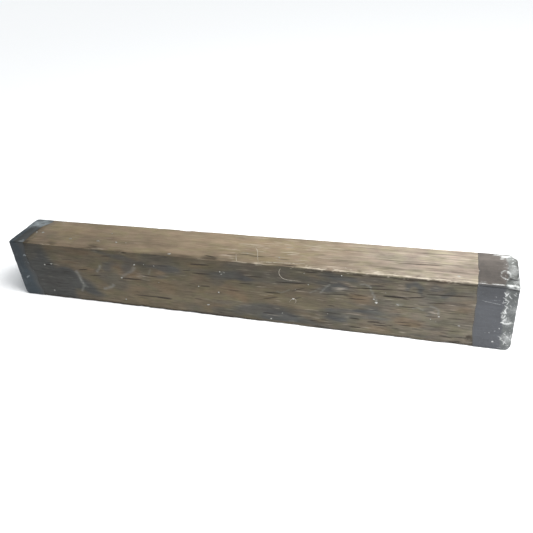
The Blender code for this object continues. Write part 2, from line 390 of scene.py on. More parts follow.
# Smears of wax, and scratches filled with it, by side: half width in millimetres, amount, then
# points of x and height or Y in millimetres.
SMEARS = {
    "front": [
        (0.6, 0.62, [(-52.8, 11.3), (-52, 9.9), (-51.7, 8.2), (-51.4, 6.6), (-50.7, 5.5)]),
        (0.34, 1, [(-51.9, 8.8), (-51.5, 7.4), (-51.3, 6.4)]),
        (0.38, 0.6, [(-51.3, 6.2), (-51.8, 4.8), (-52.8, 3.4)]),
        (0.36, 0.65, [(-43.2, 14.4), (-43.8, 12.9), (-45.2, 11.6)]),
        (0.5, 0.6, [(-44.2, 5.5), (-42.4, 6), (-40.8, 6.6), (-40, 7.7)]),
        (0.3, 0.35, [(-50.6, 5.8), (-49.8, 5.4)]),
        (0.5, 0.45, [(-36.6, 10.6), (-34.6, 12), (-32.4, 13.2), (-31.2, 14.8)]),
        (0.3, 0.3, [(-27, 12.6), (-26, 14.6)]),
        (0.26, 0.8, [(38.8, 16), (39.3, 14.2), (40, 12.6), (40.4, 11.2)]),
        (0.22, 0.55, [(38.8, 15.8), (37.4, 16.6), (36, 16.3)]),
        (0.24, 0.7, [(54.2, 11.6), (55.8, 11.2), (56.6, 10.3), (56.4, 9)]),
        (0.22, 0.45, [(49.6, 10.2), (51.2, 10.8), (52.8, 10)]), (0.4, 0.4, [(45.8, 11.2), (47.4, 11)]),
        (0.24, 0.55, [(25.2, 12.2), (26.6, 14), (28, 15.4)]),
        (0.16, 0.4, [(53, 8), (53.6, 8.6), (54.4, 8.8)]),
        (0.2, 0.35, [(12.5, 11.4), (14, 11), (15.4, 11.6), (16.8, 12.4)]),
        (0.2, 0.4, [(22, 11.8), (23.6, 12.6), (25.2, 13.8)]),
        (0.17, 0.3, [(-3.6, 15), (-3, 15.8), (-2.2, 16.4)]),
    ],
    "top": [
        (0.24, 0.3, [(-64, 6.2), (-63.2, 5.6), (-62.6, 4.9)]),
        (0.18, 0.6, [(13.4, 2.2), (14.6, 2.1), (15.8, 2.3)]),
        (0.18, 0.6, [(20.4, 2.6), (21.8, 2.6), (23, 2.8)]),
        (0.16, 0.45, [(11.8, -3.3), (13, -3.2), (14.6, -3.4)]),
        (0.16, 0.4, [(1.5, -2.6), (3.2, -2.5), (5.2, -2.7)]),
    ],
    "back": [
        (0.3, 0.45, [(-30, 6), (-28.4, 7.6), (-27.6, 9.6), (-27.8, 11.2)]),
        (0.22, 0.5, [(17, 13), (18.2, 14.4), (20, 15)]),
    ],
    "bottom": [
        (0.3, 0.4, [(-12, 1), (-10, 1.8), (-7.6, 1.6)]),
    ],
}

# Splinters lost from the long edges and faces: side, x, height or Y, half length, half height,
# depth.  All in millimetres.
CHIPS = [
    ("front", 33, 14, 3.2, 1.2, 0.14), ("front", 37.5, 15.8, 1.6, 2, 0.1),
    ("front", -31, 11.6, 3.4, 1, 0.13), ("front", -34, 19.3, 1.4, 0.5, 0.25),
    ("front", 65, 1.6, 1.3, 1.2, 0.3), ("front", 62, 0.3, 2.4, 0.5, 0.3),
    ("front", -31, 0.4, 1.6, 0.6, 0.28), ("front", 48, 0.3, 3, 0.4, 0.22),
    ("top", -44, -7.3, 2.6, 0.7, 0.26), ("top", -60, -7.2, 3.2, 0.6, 0.24),
    ("top", -7, -7, 3.4, 0.8, 0.26), ("top", 9.5, -7.3, 2.2, 0.6, 0.26),
    ("top", 26, -7.3, 1.4, 0.5, 0.22), ("top", -20, 7.4, 2, 0.5, 0.2),
    ("back", 22, 19.2, 4, 0.7, 0.28), ("back", -38, 0.5, 3, 0.7, 0.3), ("back", -8, 9, 4.5, 0.8, 0.16),
    ("back", 47, 13, 3, 1, 0.14), ("bottom", 12, 7.2, 3, 0.6, 0.25),
    ("bottom", -30, -7.2, 2.6, 0.6, 0.25),
]

# How light the wood's sides are at each height above the underside, where they are stained and where they
# are dry: painted light, lighter towards the bottom and darker towards the top, standing in for light
# bounced up off the floor.
STAINED_HEIGHTS = np.array([6.5, 9.5, 12.5, 15.5, 17.5, 19.5]) * MM
STAINED_SIDE_PAINTED_LIGHT = (1.0, 0.90, 0.83, 0.79, 0.72, 0.65)
DRY_HEIGHTS = np.array([9.0, 12.5, 15.5, 17.5, 19.5]) * MM
DRY_SIDE_PAINTED_LIGHT = (1.0, 0.97, 0.95, 0.84, 0.75)

# Random vessel lines for each side: how many, and how strong they are.
VESSELS = {"front": (330, 0.55), "top": (210, 0.32), "back": (330, 0.55), "bottom": (200, 0.55)}
# How far random marks reach across each side: heights on the front and back, Y on the others.
EDGE_MARGIN = 0.4 * MM
TALL_REACH = (EDGE_MARGIN, 2 * COAT_HALF[1] - EDGE_MARGIN)
WIDE_REACH = (EDGE_MARGIN - COAT_HALF[0], COAT_HALF[0] - EDGE_MARGIN)
SIDE_REACH = {"front": TALL_REACH, "top": WIDE_REACH, "back": TALL_REACH, "bottom": WIDE_REACH}


def scatter_vessels(skin):
    """Short open vessel lines along the grain, gathered in bands as they grow."""
    rng = np.random.default_rng(41)
    for side, (count, force) in VESSELS.items():
        low, high = SIDE_REACH[side]
        x = rng.uniform(-LENGTH / 2, LENGTH / 2, 3 * count)
        across = rng.uniform(low, high, 3 * count)
        spots = stacked(x, across, SIDES.index(side))
        crowding = smooth_noise(spots, (24 * MM, 2.2 * MM, 1), 42 + SIDES.index(side))
        chosen = np.argsort(-(crowding + rng.normal(0, 0.9, 3 * count)))[:count]
        for i in chosen:
            length = np.clip(rng.lognormal(0.8, 0.55), 0.8, 7.0) * MM
            tilt = rng.normal(0.012, 0.012) * length
            if side in ("back", "bottom"):
                tilt = -tilt
            s = skin.outline.place(side, across[i])
            width = rng.uniform(0.09, 0.16) * MM
            strength = force * rng.uniform(0.15, 1.0) ** 1.5
            skin.dash("pore", x[i], s, length, tilt, width, strength, rng.normal(0, 0.08) * MM)


def scatter_streaks(skin):
    """Long thin streaks along the grain, most of them on the dry part."""
    rng = np.random.default_rng(45)
    for layer, side, x_low, count, longest, force in STREAKS:
        low, high = SIDE_REACH[side]
        for _ in range(count):
            x = rng.uniform(x_low * MM, LENGTH / 2)
            s = skin.outline.place(side, rng.uniform(low, high))
            length = rng.uniform(1.5, longest) * MM
            tilt = rng.normal(0.010, 0.008) * length * (-1 if side == "back" else 1)
            strength = force * rng.uniform(0.25, 1.0)
            width = rng.uniform(0.09, 0.17) * MM
            skin.dash(layer, x, s, length, tilt, width, strength, rng.normal(0, 0.10) * MM)


def scatter_ticks(skin):
    """Short breaks across the sharp part of the top front edge."""
    rng = np.random.default_rng(46)
    edge = skin.outline.corner(1)
    for _ in range(150):
        x = (16 + 47 * rng.uniform() ** 0.7) * MM
        s = edge + rng.uniform(-0.5, 1.3) * MM
        run, rise = rng.normal(0, 0.15) * MM, rng.uniform(0.15, 0.5) * MM
        layer, strength = ("dark", 0.7) if rng.uniform() < 0.5 else ("pale", 1.2)
        strength *= rng.uniform(0.4, 1.0)
        skin.dash(layer, x, s, 2 * run, 2 * rise, 0.14 * MM, strength)


def draw_named_marks(skin):
    """The vessel lines, stains and chips that are listed one by one."""
    for side, lines in VESSEL_LINES.items():
        for x0, x1, across0, across1, width, strength in lines:
            skin.line("pore", side, (x0, across0), (x1, across1), width, strength, blunt=0.35)
    for seed, (name, *where, amount) in enumerate(PATCHES, 100):
        skin.patch(name, *where, amount, seed, ragged=0.6 if name == "grey" else 0.3)
    for seed, (*where, depth) in enumerate(CHIPS, 200):
        skin.patch("chip", *where, depth * MM, seed, ragged=0.4)
    for side, smears in SMEARS.items():
        for half_width, amount, route in smears:
            for start, end in zip(route, route[1:]):
                skin.line("smear", side, start, end, half_width, amount, blunt=0.12)


def edge_gap(skin, number):
    """The signed distance round the stick from the middle of a corner to each column."""
    girth = skin.outline.girth
    return (np.mod(skin.s - skin.outline.corner(number) + girth / 2, girth) - girth / 2)[None, :]


def edge_wear(skin, points):
    """How far each long edge is worn in, in metres."""
    wear = np.zeros(skin.x.shape)
    # for each edge: steady wear, and the depth of its slow and its quick unevenness, in mm
    amounts = [(0.06, 0.08, 0.08), (0.10, 0.13, 0.10), (0.00, 0.05, 0.04), (0.08, 0.10, 0.08)]
    for number, (steady, slow, quick) in enumerate(amounts):
        near = bell(edge_gap(skin, number), 0.6 * MM)
        amount = steady + slow * noise_on(points, (7 * MM, 1, 1), 51 + number)
        amount += quick * noise_on(points, (1.3 * MM, 1, 1), 61 + number)
        wear += near * np.clip(amount, 0, None) * MM
    return wear


def shade_edges(skin, points):
    """Paints the long edges: dirt in the worn ones, painted shade along the bottom front edge where the
    stick meets the floor, and a pale torn fringe on the sharp part.
    """
    layers = skin.layers
    fringe = noise_on(points, (1.5 * MM, 0.3 * MM, 0.3 * MM), 75)
    patches = noise_on(points, (5 * MM, 1, 1), 76)
    top_edge = edge_gap(skin, 1)
    sharp = ease(skin.x, 3 * MM, 12 * MM) * ease(patches, -1.4, 0.2)
    pale = bell(top_edge - (0.34 + 0.16 * fringe) * MM, 0.34 * MM)
    layers["pale"] += 1.5 * sharp * pale * ease(fringe, -1.5, 0.3)
    crack = bell(top_edge + (0.66 + 0.14 * fringe) * MM, 0.26 * MM)
    broken = ease(patches + 0.7 * fringe, -1.6, 0.2)
    layers["dark"] += 1.25 * crack * ease(skin.x, 8 * MM, 38 * MM) * broken
    dirty = bell(top_edge - 0.5 * MM, 0.9 * MM) * (1 - ease(skin.x, -3 * MM, 8 * MM))
    layers["dark"] += 0.50 * dirty * ease(patches + 0.4 * fringe, -1.0, 1.0)
    # painted shade: a dark line along the bottom front edge, stronger towards the left end
    low_edge = edge_gap(skin, 0)
    bottom_edge_painted_shade = bell(low_edge - (0.16 + 0.06 * patches) * MM, 0.42 * MM)
    thickness = 1.45 - 1.05 * ease(skin.x, -6 * MM, 20 * MM)
    layers["dark"] += thickness * bottom_edge_painted_shade * ease(patches + 0.4 * fringe, -2.4, -0.2)
    for number in (2, 3):
        gap = edge_gap(skin, number)
        layers["pale"] += 0.6 * bell(gap, 0.5 * MM) * ease(fringe, -0.2, 1.0)
        layers["dark"] += 0.4 * bell(gap, 0.9 * MM) * ease(-patches, 0, 1.4)


def grid_mesh(name, rings, layers, extra, flip):
    """A closed mesh from rings of points, in order; the first and last ring are capped.

    extra is how many rings before and after the painted ones take on their nearest values.
    """
    rows, columns = rings.shape[:2]
    index = np.arange(rows * columns).reshape(rows, columns)
    here, there = index[:-1], index[1:]
    quads = np.stack([here, there, np.roll(there, -1, 1), np.roll(here, -1, 1)], axis=-1)
    quads = quads.reshape(-1, 4)
    first, last = index[0], index[-1][::-1]
    if flip:
        quads = quads[:, ::-1]
        first, last = first[::-1], last[::-1]
    mesh = bpy.data.meshes.new(name)
    mesh.from_pydata(rings.reshape(-1, 3), [], quads.tolist() + [first.tolist(), last.tolist()])
    for key, values in layers.items():
        attribute = mesh.attributes.new(key, "FLOAT", "POINT")
        values = np.pad(values, (extra, (0, 0)), mode="edge")
        attribute.data.foreach_set("value", values.astype(np.float32).ravel())
    mesh.shade_smooth()
    mesh.set_sharp_from_angle(angle=math.radians(65))
    return add_object(name, mesh)


def wood_columns(outline):
    """Arc lengths of the wood's columns: closest together where the stick is looked at most."""
    columns = []
    for side, step in COLUMN_STEPS.items():
        first = outline.corner(SIDES.index(side))
        last = first + np.mod(outline.corner((SIDES.index(side) + 1) % 4) - first, outline.girth)
        columns.append(np.linspace(first, last, round((last - first) / step), endpoint=False))
    return np.sort(np.mod(np.concatenate(columns), outline.girth))


def paint_wood(skin, points, facing_up):
    """Soft stains, dirt and wear over the whole stick, besides the listed marks, and a tone layer: painted
    light on the sides, lighter towards the bottom and darker towards the top; the top lighter towards the
    back and darker towards the left end.
    """
    layers = skin.layers
    clouds = noise_on(points, (5 * MM, 2.6 * MM, 2.6 * MM), 73)
    layers["grey"] += 0.40 * ease(clouds, 0.2, 1.4) * (1 - 0.7 * facing_up)
    upper = ease(points[..., 2], 11 * MM, 17 * MM)
    left = ease(-skin.x + 4 * MM * clouds, 46 * MM + 12 * MM * upper, 62 * MM + 6 * MM * upper)
    layers["grey"] += 0.75 * left * (1 - 0.85 * facing_up)
    embers = noise_on(points, (4 * MM, 1.8 * MM, 1.8 * MM), 74)
    layers["rust"] += 0.40 * ease(embers, 0.4, 1.6) * (1 - 0.6 * facing_up) * (1 - left)
    shade = noise_on(points, (8 * MM, 3 * MM, 3 * MM), 77)
    layers["dark"] += 0.16 * ease(shade, -0.4, 1.6)
    dry = ease(skin.x + 3 * MM * clouds, 8 * MM, 56 * MM)
    # painted light: the sides lighter towards the bottom and darker towards the top, standing in for light
    # bounced off the floor
    height = points[..., 2]
    stained_side = np.interp(height, STAINED_HEIGHTS, STAINED_SIDE_PAINTED_LIGHT)
    dry_side = np.interp(height, DRY_HEIGHTS, DRY_SIDE_PAINTED_LIGHT)
    side_tone = (stained_side + (dry_side - stained_side) * dry) * (1 - 0.20 * left)
    top_tone = 0.86 + 0.15 * ease(points[..., 1], -2.5 * MM, 2.5 * MM)
    top_tone *= 1 - 0.13 * ease(-skin.x, 4 * MM, 50 * MM)
    layers["tone"] = side_tone + (top_tone - side_tone) * facing_up
    layers["dry"] = dry
    shreds = noise_on(points, (1.8 * MM, 0.26 * MM, 0.26 * MM), 78)
    busy = ease(skin.x, -10 * MM, 40 * MM)
    layers["pale"] += 0.55 * ease(shreds, 1.0, 2.0) * (0.25 + 0.75 * busy)
    layers["pale"] += 0.5 * np.clip(layers["chip"] / (0.2 * MM), 0, 1) * ease(shreds, -0.3, 1.2)


def make_wood():
    """The stick: sawn faces with open vessels, worn edges and stains, stepped in at its ends."""
    outline = Outline(WOOD_SKIN, WOOD_EDGE_RADIUS)
    s = wood_columns(outline)
    walk, y, z, normal_y, normal_z = outline.at(s)
    left = rim_x(-1, walk, y, z) - SEAT_START
    right = rim_x(1, walk, y, z) + SEAT_START
    share = np.linspace(0, 1, WOOD_ROWS)[:, None]
    skin = Skin(outline, s, left + (right - left) * share)
    base = stacked(skin.x, y, z + MID_HEIGHT)
    for name in ("pore", "grey", "rust", "dark", "pale", "smear", "chip"):
        skin.layer(name)
    scatter_vessels(skin)
    scatter_streaks(skin)
    scatter_ticks(skin)
    draw_named_marks(skin)
    layers = skin.layers

    fibres = noise_on(base, (4 * MM, 0.34 * MM, 0.34 * MM), 71, 60)
    bands = noise_on(base, (12 * MM, 1.3 * MM, 1.3 * MM), 72)
    lumps = noise_on(base, (2.2 * MM, 1.2 * MM, 1.2 * MM), 79)
    dip = sway(base) + 0.013 * MM * (2 + fibres) + 0.010 * MM * (2 + bands + lumps)
    torn = 1 + 0.35 * fibres
    dip += 0.10 * MM * np.clip(layers["pore"], 0, 1.3) + layers["chip"] * torn
    dip -= 0.03 * MM * layers["smear"]
    # the wood dips in under the rims, so that the film lies over it
    from_rim = np.minimum(skin.x - left, right - skin.x) - SEAT_START
    dip += 0.09 * MM * (1 - ease(from_rim, -0.1 * MM, 0.3 * MM))
    dip = np.clip(dip + edge_wear(skin, base), 0, 0.9 * MM)
    normals = stacked(0.0, normal_y, normal_z)
    body = base - dip[..., None] * normals

    facing_up = np.clip(normal_z, 0, 1)[None, :] * np.ones(skin.x.shape)
    paint_wood(skin, base, facing_up)
    shade_edges(skin, base)
    # the upward faces take the top's colour: lighter partly from bleaching and partly as painted light
    layers["top_bleach_and_painted_light"] = facing_up
    del layers["chip"]

    def seat_ring(x, inset):
        step = SEAT_STEP + inset
        ring = stacked(x, y - step * np.sign(y), z - step * np.sign(z))
        ring[:, 2] += MID_HEIGHT
        return ring[None]

    rings = [
        seat_ring(WOOD_LOW.x, SEAT_CHAMFER),
        seat_ring(WOOD_LOW.x + SEAT_CHAMFER, 0),
        seat_ring(left - SEAT_LEAN, 0),
        body,
        seat_ring(right + SEAT_LEAN, 0),
        seat_ring(WOOD_HIGH.x - SEAT_CHAMFER, 0),
        seat_ring(WOOD_HIGH.x, SEAT_CHAMFER),
    ]
    rings = knock(np.concatenate(rings))
    return grid_mesh("wood_stick_worn", rings, layers, extra=(3, 3), flip=False)


# ------------------------------------------------------------ the wax coats
MAX_DIP = 0.33 * MM  # the deepest that relief cuts into a coat
RIGHT_BEAD, LEFT_BEAD = 3.1 * MM, 1.5 * MM  # how far the thick wax reaches from each tip

# The burst bubble on top of the right coat: its middle, its length and width against a circle, and
# its ring's radius and half width in millimetres.
CRATER_X, CRATER_Y = 71.6 * MM, -2.75 * MM
CRATER_STRETCH = (1.0, 1.7)
CRATER_RING, CRATER_RING_WIDTH = 1.10, 0.24

# Hazy places, as x and height or Y: at the right coat's back corner, low on its front, and on top
# of the left coat.
CORNER_HAZE = (72.2 * MM, 6.9 * MM)
LOW_HAZE = (72.2 * MM, 3.2 * MM)
LEFT_GLAZE = (-71.5 * MM, 4.6 * MM)

# Ridges of wax pushed up along the top edges, painted white, partly milky wax and partly a painted
# highlight: the corner's number, x and distance past the corner at both ends, half width (all in
# millimetres), strength, bluntness.
RIDGES = [
    (1, 71.4, 0.45, 75, -0.1, 0.55, 1, 0.5), (1, 72, -0.15, 75.1, -0.75, 0.4, 0.9, 0.5),
    (1, 64.9, 0.3, 67.4, 0.36, 0.16, 0.55, 0.2), (1, 68.2, 0.34, 71.6, 0.42, 0.18, 0.65, 0.2),
    (1, 65.6, 1.05, 67.2, 1, 0.16, 0.4, 0.5), (2, 68.6, -0.9, 71.4, -0.7, 0.3, 0.8, 0.5),
    (2, 70.6, -1.8, 73.4, -0.9, 0.4, 1.1, 0.5), (2, 70.4, -2.9, 71.6, -2.4, 0.25, 0.7, 0.5),
]

# Grooves beside the top front edge, painted near-black as painted shade: x and distance past the corner at
# both ends, half width.
GROOVES = [(64.9, -0.5, 72.6, -0.6, 0.24), (71.6, -0.7, 75.4, -1.15, 0.22)]

# Dark grain that shows through the right film: side, x, height or Y, half sizes, amount.
SHOWING_GRAIN = [
    ("top", 65.9, 5.9, 0.9, 1.2, 0.3), ("top", 66.3, 1.6, 0.9, 1, 0.3), ("top", 69, 4.6, 1, 0.8, 0.25),
    ("top", 73.4, -4.6, 1.7, 0.8, 0.75), ("top", 70.2, -5, 1.4, 1, 0.3),
    ("top", 67.2, -2, 1.4, 2, 0.25), ("front", 67, 17.6, 1.6, 1.2, 0.25),
    ("front", 70.4, 8.4, 1, 1, 0.15),
]

# White stress marks on the right coat's front: x and height at both ends, half width, strength.
RIGHT_CRACKS = [
    (71.3, 18.2, 72.2, 17, 0.11, 0.8), (72.4, 18, 71.7, 16.8, 0.1, 0.7),
    (72.6, 17.3, 73.6, 16.2, 0.11, 0.8), (71.2, 16.6, 72.3, 16, 0.1, 0.7),
    (71.7, 15.9, 73.1, 15.3, 0.12, 0.9), (71.1, 14.8, 72.4, 15.3, 0.1, 0.7),
    (72.8, 15.6, 72.3, 14.3, 0.12, 0.9), (71.8, 14.3, 72.9, 13.4, 0.11, 0.8),
    (72.8, 13.8, 72.1, 12.7, 0.11, 0.8), (72.1, 12.9, 72.6, 11.7, 0.16, 1),
    (71.6, 12.2, 72.3, 11.5, 0.11, 0.8), (72.4, 11.3, 71.9, 10.3, 0.12, 0.8),
    (72.5, 10.2, 72.2, 9.2, 0.1, 0.7), (71.5, 8.9, 72.4, 8.5, 0.2, 1.1), (72.2, 8.6, 74, 8.8, 0.14, 1),
    (73.6, 9.3, 74.1, 8.7, 0.1, 0.8), (71.9, 3.6, 73.9, 2, 0.12, 0.6),
    (73.4, 3.4, 72.5, 2.2, 0.1, 0.5), (71.2, 4.6, 72.6, 3.6, 0.09, 0.4),
    (73.4, 4.8, 73.9, 4.2, 0.1, 0.5), (70.1, 2.3, 70.6, 2.5, 0.17, 1), (72.5, 5.6, 73.2, 5, 0.1, 0.6),
    (69, 5.4, 69.4, 5, 0.1, 0.5), (69.5, 16.6, 69.8, 16.2, 0.1, 0.5),
    (66.5, 15, 71.6, 14.2, 0.07, 0.45), (68.4, 15.2, 70.9, 15.6, 0.06, 0.35),
    (73.4, 17.8, 74.6, 17, 0.12, 0.7), (73.6, 16.4, 74.5, 15.2, 0.11, 0.6),
    (73.9, 18.4, 74.4, 17.6, 0.12, 0.8), (70.2, 5.9, 70.7, 6.1, 0.1, 0.5),
]

# Flakes and scratches on the left coat: side, x and height or Y at both ends, half width, strength.
LEFT_FLAKES = [
    ("front", -70.7, 15.6, -70, 14.9, 0.26, 0.9), ("front", -71.2, 15, -70.4, 15.3, 0.2, 0.7),
    ("front", -70.6, 13, -69.6, 12, 0.12, 0.5), ("front", -69.4, 11.6, -68.7, 9.6, 0.16, 0.7),
    ("front", -69, 10.2, -68.6, 9.2, 0.2, 0.8), ("front", -72.8, 6.4, -71.6, 7.4, 0.26, 0.9),
    ("front", -71.7, 7.1, -71.2, 7.6, 0.2, 0.7), ("front", -71.6, 12.2, -70.9, 12.9, 0.12, 0.4),
    ("top", -71.6, -7, -69.4, -6.7, 0.25, 0.9), ("top", -71, -5.8, -69.9, -6.3, 0.3, 0.5),
    ("top", -73.4, 3, -71.6, 4, 0.45, 0.45), ("top", -71.8, 6.4, -69.8, 7, 0.45, 0.5),
    ("top", -74, 4.6, -72.4, 5, 0.4, 0.35),
]


class CoatPlan:
    """What differs between the two coats."""

    def __init__(self, end, roll, columns, side_rows, roll_rows, end_rows):
        self.end = end
        self.roll = roll  # radius where the sides roll over into the end
        self.tip = RIGHT_TIP if end > 0 else LEFT_TIP
        self.columns = columns
        self.side_rows = side_rows
        self.roll_rows = roll_rows
        self.end_rows = end_rows


def coat_grid(plan):
    """A coat's outer surface before its relief: skin, points, normals and the x of its rim.

    On the end face the skin's x runs on past the tip by the distance in from the edge.
    """
    outline = Outline(COAT_HALF, COAT_EDGE_RADIUS)
    s = np.linspace(0, outline.girth, plan.columns, endpoint=False)
    walk, y, z, normal_y, normal_z = outline.at(s)
    rim = rim_x(plan.end, walk, y, z)
    roll_start = plan.tip - plan.end * plan.roll
    shares = np.linspace(0, 1, plan.side_rows, endpoint=False)[:, None]
    side_x = rim + (roll_start - rim) * shares
    ones = np.ones_like(y)
    points = [stacked(side_x, y, z)]
    normals = [stacked(0 * side_x, normal_y, normal_z)]
    unrolled = [side_x]
    for step in range(plan.roll_rows):
        angle = math.pi / 2 * step / plan.roll_rows
        inset = plan.roll * (1 - math.cos(angle))
        x = roll_start + plan.end * plan.roll * math.sin(angle)
        points.append(stacked(x, y - inset * normal_y, z - inset * normal_z)[None])
        out, on = math.cos(angle), plan.end * math.sin(angle)
        normals.append(stacked(on, out * normal_y, out * normal_z)[None])
        unrolled.append((roll_start + plan.end * plan.roll * angle) * ones[None])
    flat_y = y - plan.roll * normal_y
    flat_z = z - plan.roll * normal_z
    roll_length = plan.roll * math.pi / 2
    for step in range(plan.end_rows):
        scale = 1 - 0.985 * step / (plan.end_rows - 1)
        points.append(stacked(plan.tip, flat_y * scale, flat_z * scale)[None])
        normals.append(stacked(float(plan.end), 0 * y, 0 * z)[None])
        inward = COAT_HALF[0] * (1 - scale)
        unrolled.append((roll_start + plan.end * (roll_length + inward)) * ones[None])
    points = np.concatenate(points)
    points[..., 2] += MID_HEIGHT
    skin = Skin(outline, s, np.concatenate(unrolled))
    return skin, points, np.concatenate(normals), rim


def close_coat(plan, skin, outer, rim):
    """Adds the coat's inside to its outer rings, so that the shell is closed."""
    _, y, z, normal_y, normal_z = skin.outline.at(skin.s)
    inside_y, inside_z = y - COAT_INSIDE * normal_y, z - COAT_INSIDE * normal_z + MID_HEIGHT
    floor_x = plan.tip - plan.end * COAT_FLOOR
    inner_floor = stacked(floor_x, inside_y, inside_z)
    inner_rim = stacked(rim, inside_y, inside_z)
    return knock(np.concatenate([inner_floor[None], inner_rim[None], outer]))


def make_right_coat():
    """The deep coat: a thin film, then a thick milky bead with a crater, ridge and cracks."""
    plan = CoatPlan(1, roll=0.55 * MM, columns=520, side_rows=78, roll_rows=8, end_rows=44)
    skin, points, normals, rim = coat_grid(plan)
    place = skin.outline.place
    flat = stacked(skin.x, points[..., 1], points[..., 2])

    # the thick bead starts about 3 mm from the tip, at a wavering line
    line = plan.tip - RIGHT_BEAD + 0.5 * MM * noise_on(points * [0, 1, 1], (1, 2 * MM, 2 * MM), 81)
    bead = ease(skin.x, line - 0.35 * MM, line + 0.35 * MM)
    past_rim = skin.x - rim
    lip = ease(past_rim, 0, 0.5 * MM)
    clots = noise_on(flat, (1.0 * MM, 0.9 * MM, 0.9 * MM), 82, 60)
    grit = noise_on(flat, (0.35 * MM, 0.35 * MM, 0.35 * MM), 83, 60)

    dip = FILM_DIP * (1 - bead) + 0.03 * MM * (1 - lip) + sway(points) * (1 - 0.5 * bead)
    calm = 1 - 0.6 * ease(normals[..., 0], 0.7, 1.0)
    dip += bead * (0.06 * MM + 0.05 * MM * clots * calm + 0.015 * MM * grit * calm)
    dip += (1 - bead) * 0.006 * MM * (1 + noise_on(flat, (2.5 * MM, 0.6 * MM, 0.6 * MM), 84))

    # a burst bubble on the top: a ring-shaped wall round a hollow, with painted highlights (glints) in the
    # hollow, white painted into the milk layer
    cells, near_x, gap = skin.near(0.068, 0.0765, place("top", CRATER_Y), 3 * MM)
    reach = np.hypot((near_x - CRATER_X) / CRATER_STRETCH[0], gap / CRATER_STRETCH[1]) / MM
    ring_wall = bell(reach - CRATER_RING, CRATER_RING_WIDTH)
    hollow = 1 - ease(reach, 0.5, 1.1)
    painted_glints = hollow * ease(grit[cells], 0.5, 1.3)
    dip[cells] += 0.13 * MM * hollow - 0.09 * MM * ring_wall - 0.08 * MM * painted_glints
    skin.layer("milk")[cells] += 0.36 * ring_wall * (0.35 + 0.65 * ease(grit[cells], -0.6, 0.9))
    skin.layer("milk")[cells] += 0.42 * painted_glints

    # a ridge of pushed-up wax along the top front edge, near the tip
    for number, x0, past0, x1, past1, width, strength, blunt in RIDGES:
        corner = skin.outline.corner(number)
        start, end = (x0 * MM, corner + past0 * MM), (x1 * MM, corner + past1 * MM)
        skin.stroke("ridge_and_painted_highlight", start, end, width * MM, strength, blunt=blunt)
    edge = skin.outline.corner(1)
    for x0, past0, x1, past1, width in GROOVES:
        start, end = (x0 * MM, edge + past0 * MM), (x1 * MM, edge + past1 * MM)
        skin.stroke("groove_shade_and_dark_grain", start, end, width * MM, 1.0)
    dip += 0.12 * MM * skin.layer("groove_shade_and_dark_grain") - 0.09 * MM * skin.layer("ridge_and_painted_highlight")

    # dark grain that shows through the film: side, x, height or Y, half sizes, amount
    for seed, (*where, amount) in enumerate(SHOWING_GRAIN, 300):
        skin.patch("groove_shade_and_dark_grain", *where, amount, seed, ragged=0.45)

    draw_right_cracks(skin)
    cracks = skin.layer("crack")
    dip -= 0.045 * MM * cracks

    dip = np.clip(dip, 0, MAX_DIP)
    outer = points - dip[..., None] * normals

    milk = skin.layer("milk")
    patches = noise_on(flat, (1.3 * MM, 1.6 * MM, 1.6 * MM), 85)
    # the ridges are painted white: partly milky wax and partly a painted highlight
    milk += bead * (0.06 + 0.16 * patches) + 0.8 * skin.layer("ridge_and_painted_highlight") * (0.9 + 0.25 * grit)
    on_top_side = normals[..., 2] > 0.3
    x, y = points[..., 0], points[..., 1]
    corner_reach = np.hypot((x - CORNER_HAZE[0]) / 1.7, y - CORNER_HAZE[1]) / (1.2 * MM)
    milk += 0.50 * np.exp(-(corner_reach ** 2)) * on_top_side * ease(clots, -1.2, 0.6)
    haze = bell(x - 72.6 * MM, 1.5 * MM) * ease(y, -3.5 * MM, 1.5 * MM)
    milk += 0.14 * on_top_side * haze
    low_reach = np.hypot((x - LOW_HAZE[0]) / 1.9, (points[..., 2] - LOW_HAZE[1]) / 2.6) / MM
    milk += 0.08 * np.exp(-low_reach ** 2) * (normals[..., 1] < -0.3) * ease(clots, -1.4, 0.6)
    milk += cracks
    specks = noise_on(flat, (0.3 * MM, 0.25 * MM, 0.25 * MM), 86, 60)
    milk += 0.4 * (1 - bead) * ease(specks, 1.9, 2.4)
    facing_up = np.clip(normals[..., 2], 0, 1)
    # painted shade: the sides darker towards the top, as on the wood; the top lighter towards the back and
    # darker at the tip
    side_tone = 1 - 0.25 * ease(points[..., 2], 14 * MM, 18 * MM)
    top_tone = 0.80 + 0.50 * ease(points[..., 1], -2.5 * MM, 5.5 * MM)
    top_tone *= 1 - 0.30 * ease(skin.x, 73.2 * MM, 74.4 * MM)
    layers = {
        "milk": np.clip(milk, 0, 1.2),
        "thick": bead,
        "groove_shade_and_dark_grain": skin.layer("groove_shade_and_dark_grain"),
        "top_bleach_and_painted_light": facing_up,
        "tone": side_tone + (top_tone - side_tone) * facing_up,
        "rim": 0.5 * (1 - ease(past_rim, 0, 0.5 * MM)),
    }
    rings = close_coat(plan, skin, outer, rim)
    return grid_mesh("wax_right_milky", rings, layers, extra=(2, 0), flip=False)


def draw_right_cracks(skin):
    """White stress marks in the bead on the front, and finer ones round the other sides."""
    place = skin.outline.place
    rng = np.random.default_rng(91)
    for x0, up0, x1, up1, width, strength in RIGHT_CRACKS:
        bend = rng.normal(0, 0.12) * MM
        skin.line("crack", "front", (x0, up0), (x1, up1), width, strength, bend=bend)
    for side, low, high, count in (("front", 0.6, 19.0, 34), ("top", -7.0, 7.0, 26),
                                   ("back", 0.6, 19.0, 60), ("bottom", -7.0, 7.0, 30)):
        for _ in range(count):
            x = rng.uniform(71.4, 75.8) * MM
            s = place(side, rng.uniform(low, high) * MM)
            angle = rng.uniform(0, math.pi)
            length = rng.uniform(0.3, 1.3) * MM
            run, rise = length * math.cos(angle), length * math.sin(angle)
            width = rng.uniform(0.06, 0.12) * MM
            strength = rng.uniform(0.25, 0.75)
            skin.dash("crack", x, s, run, rise, width, strength, rng.normal(0, 0.08) * MM)


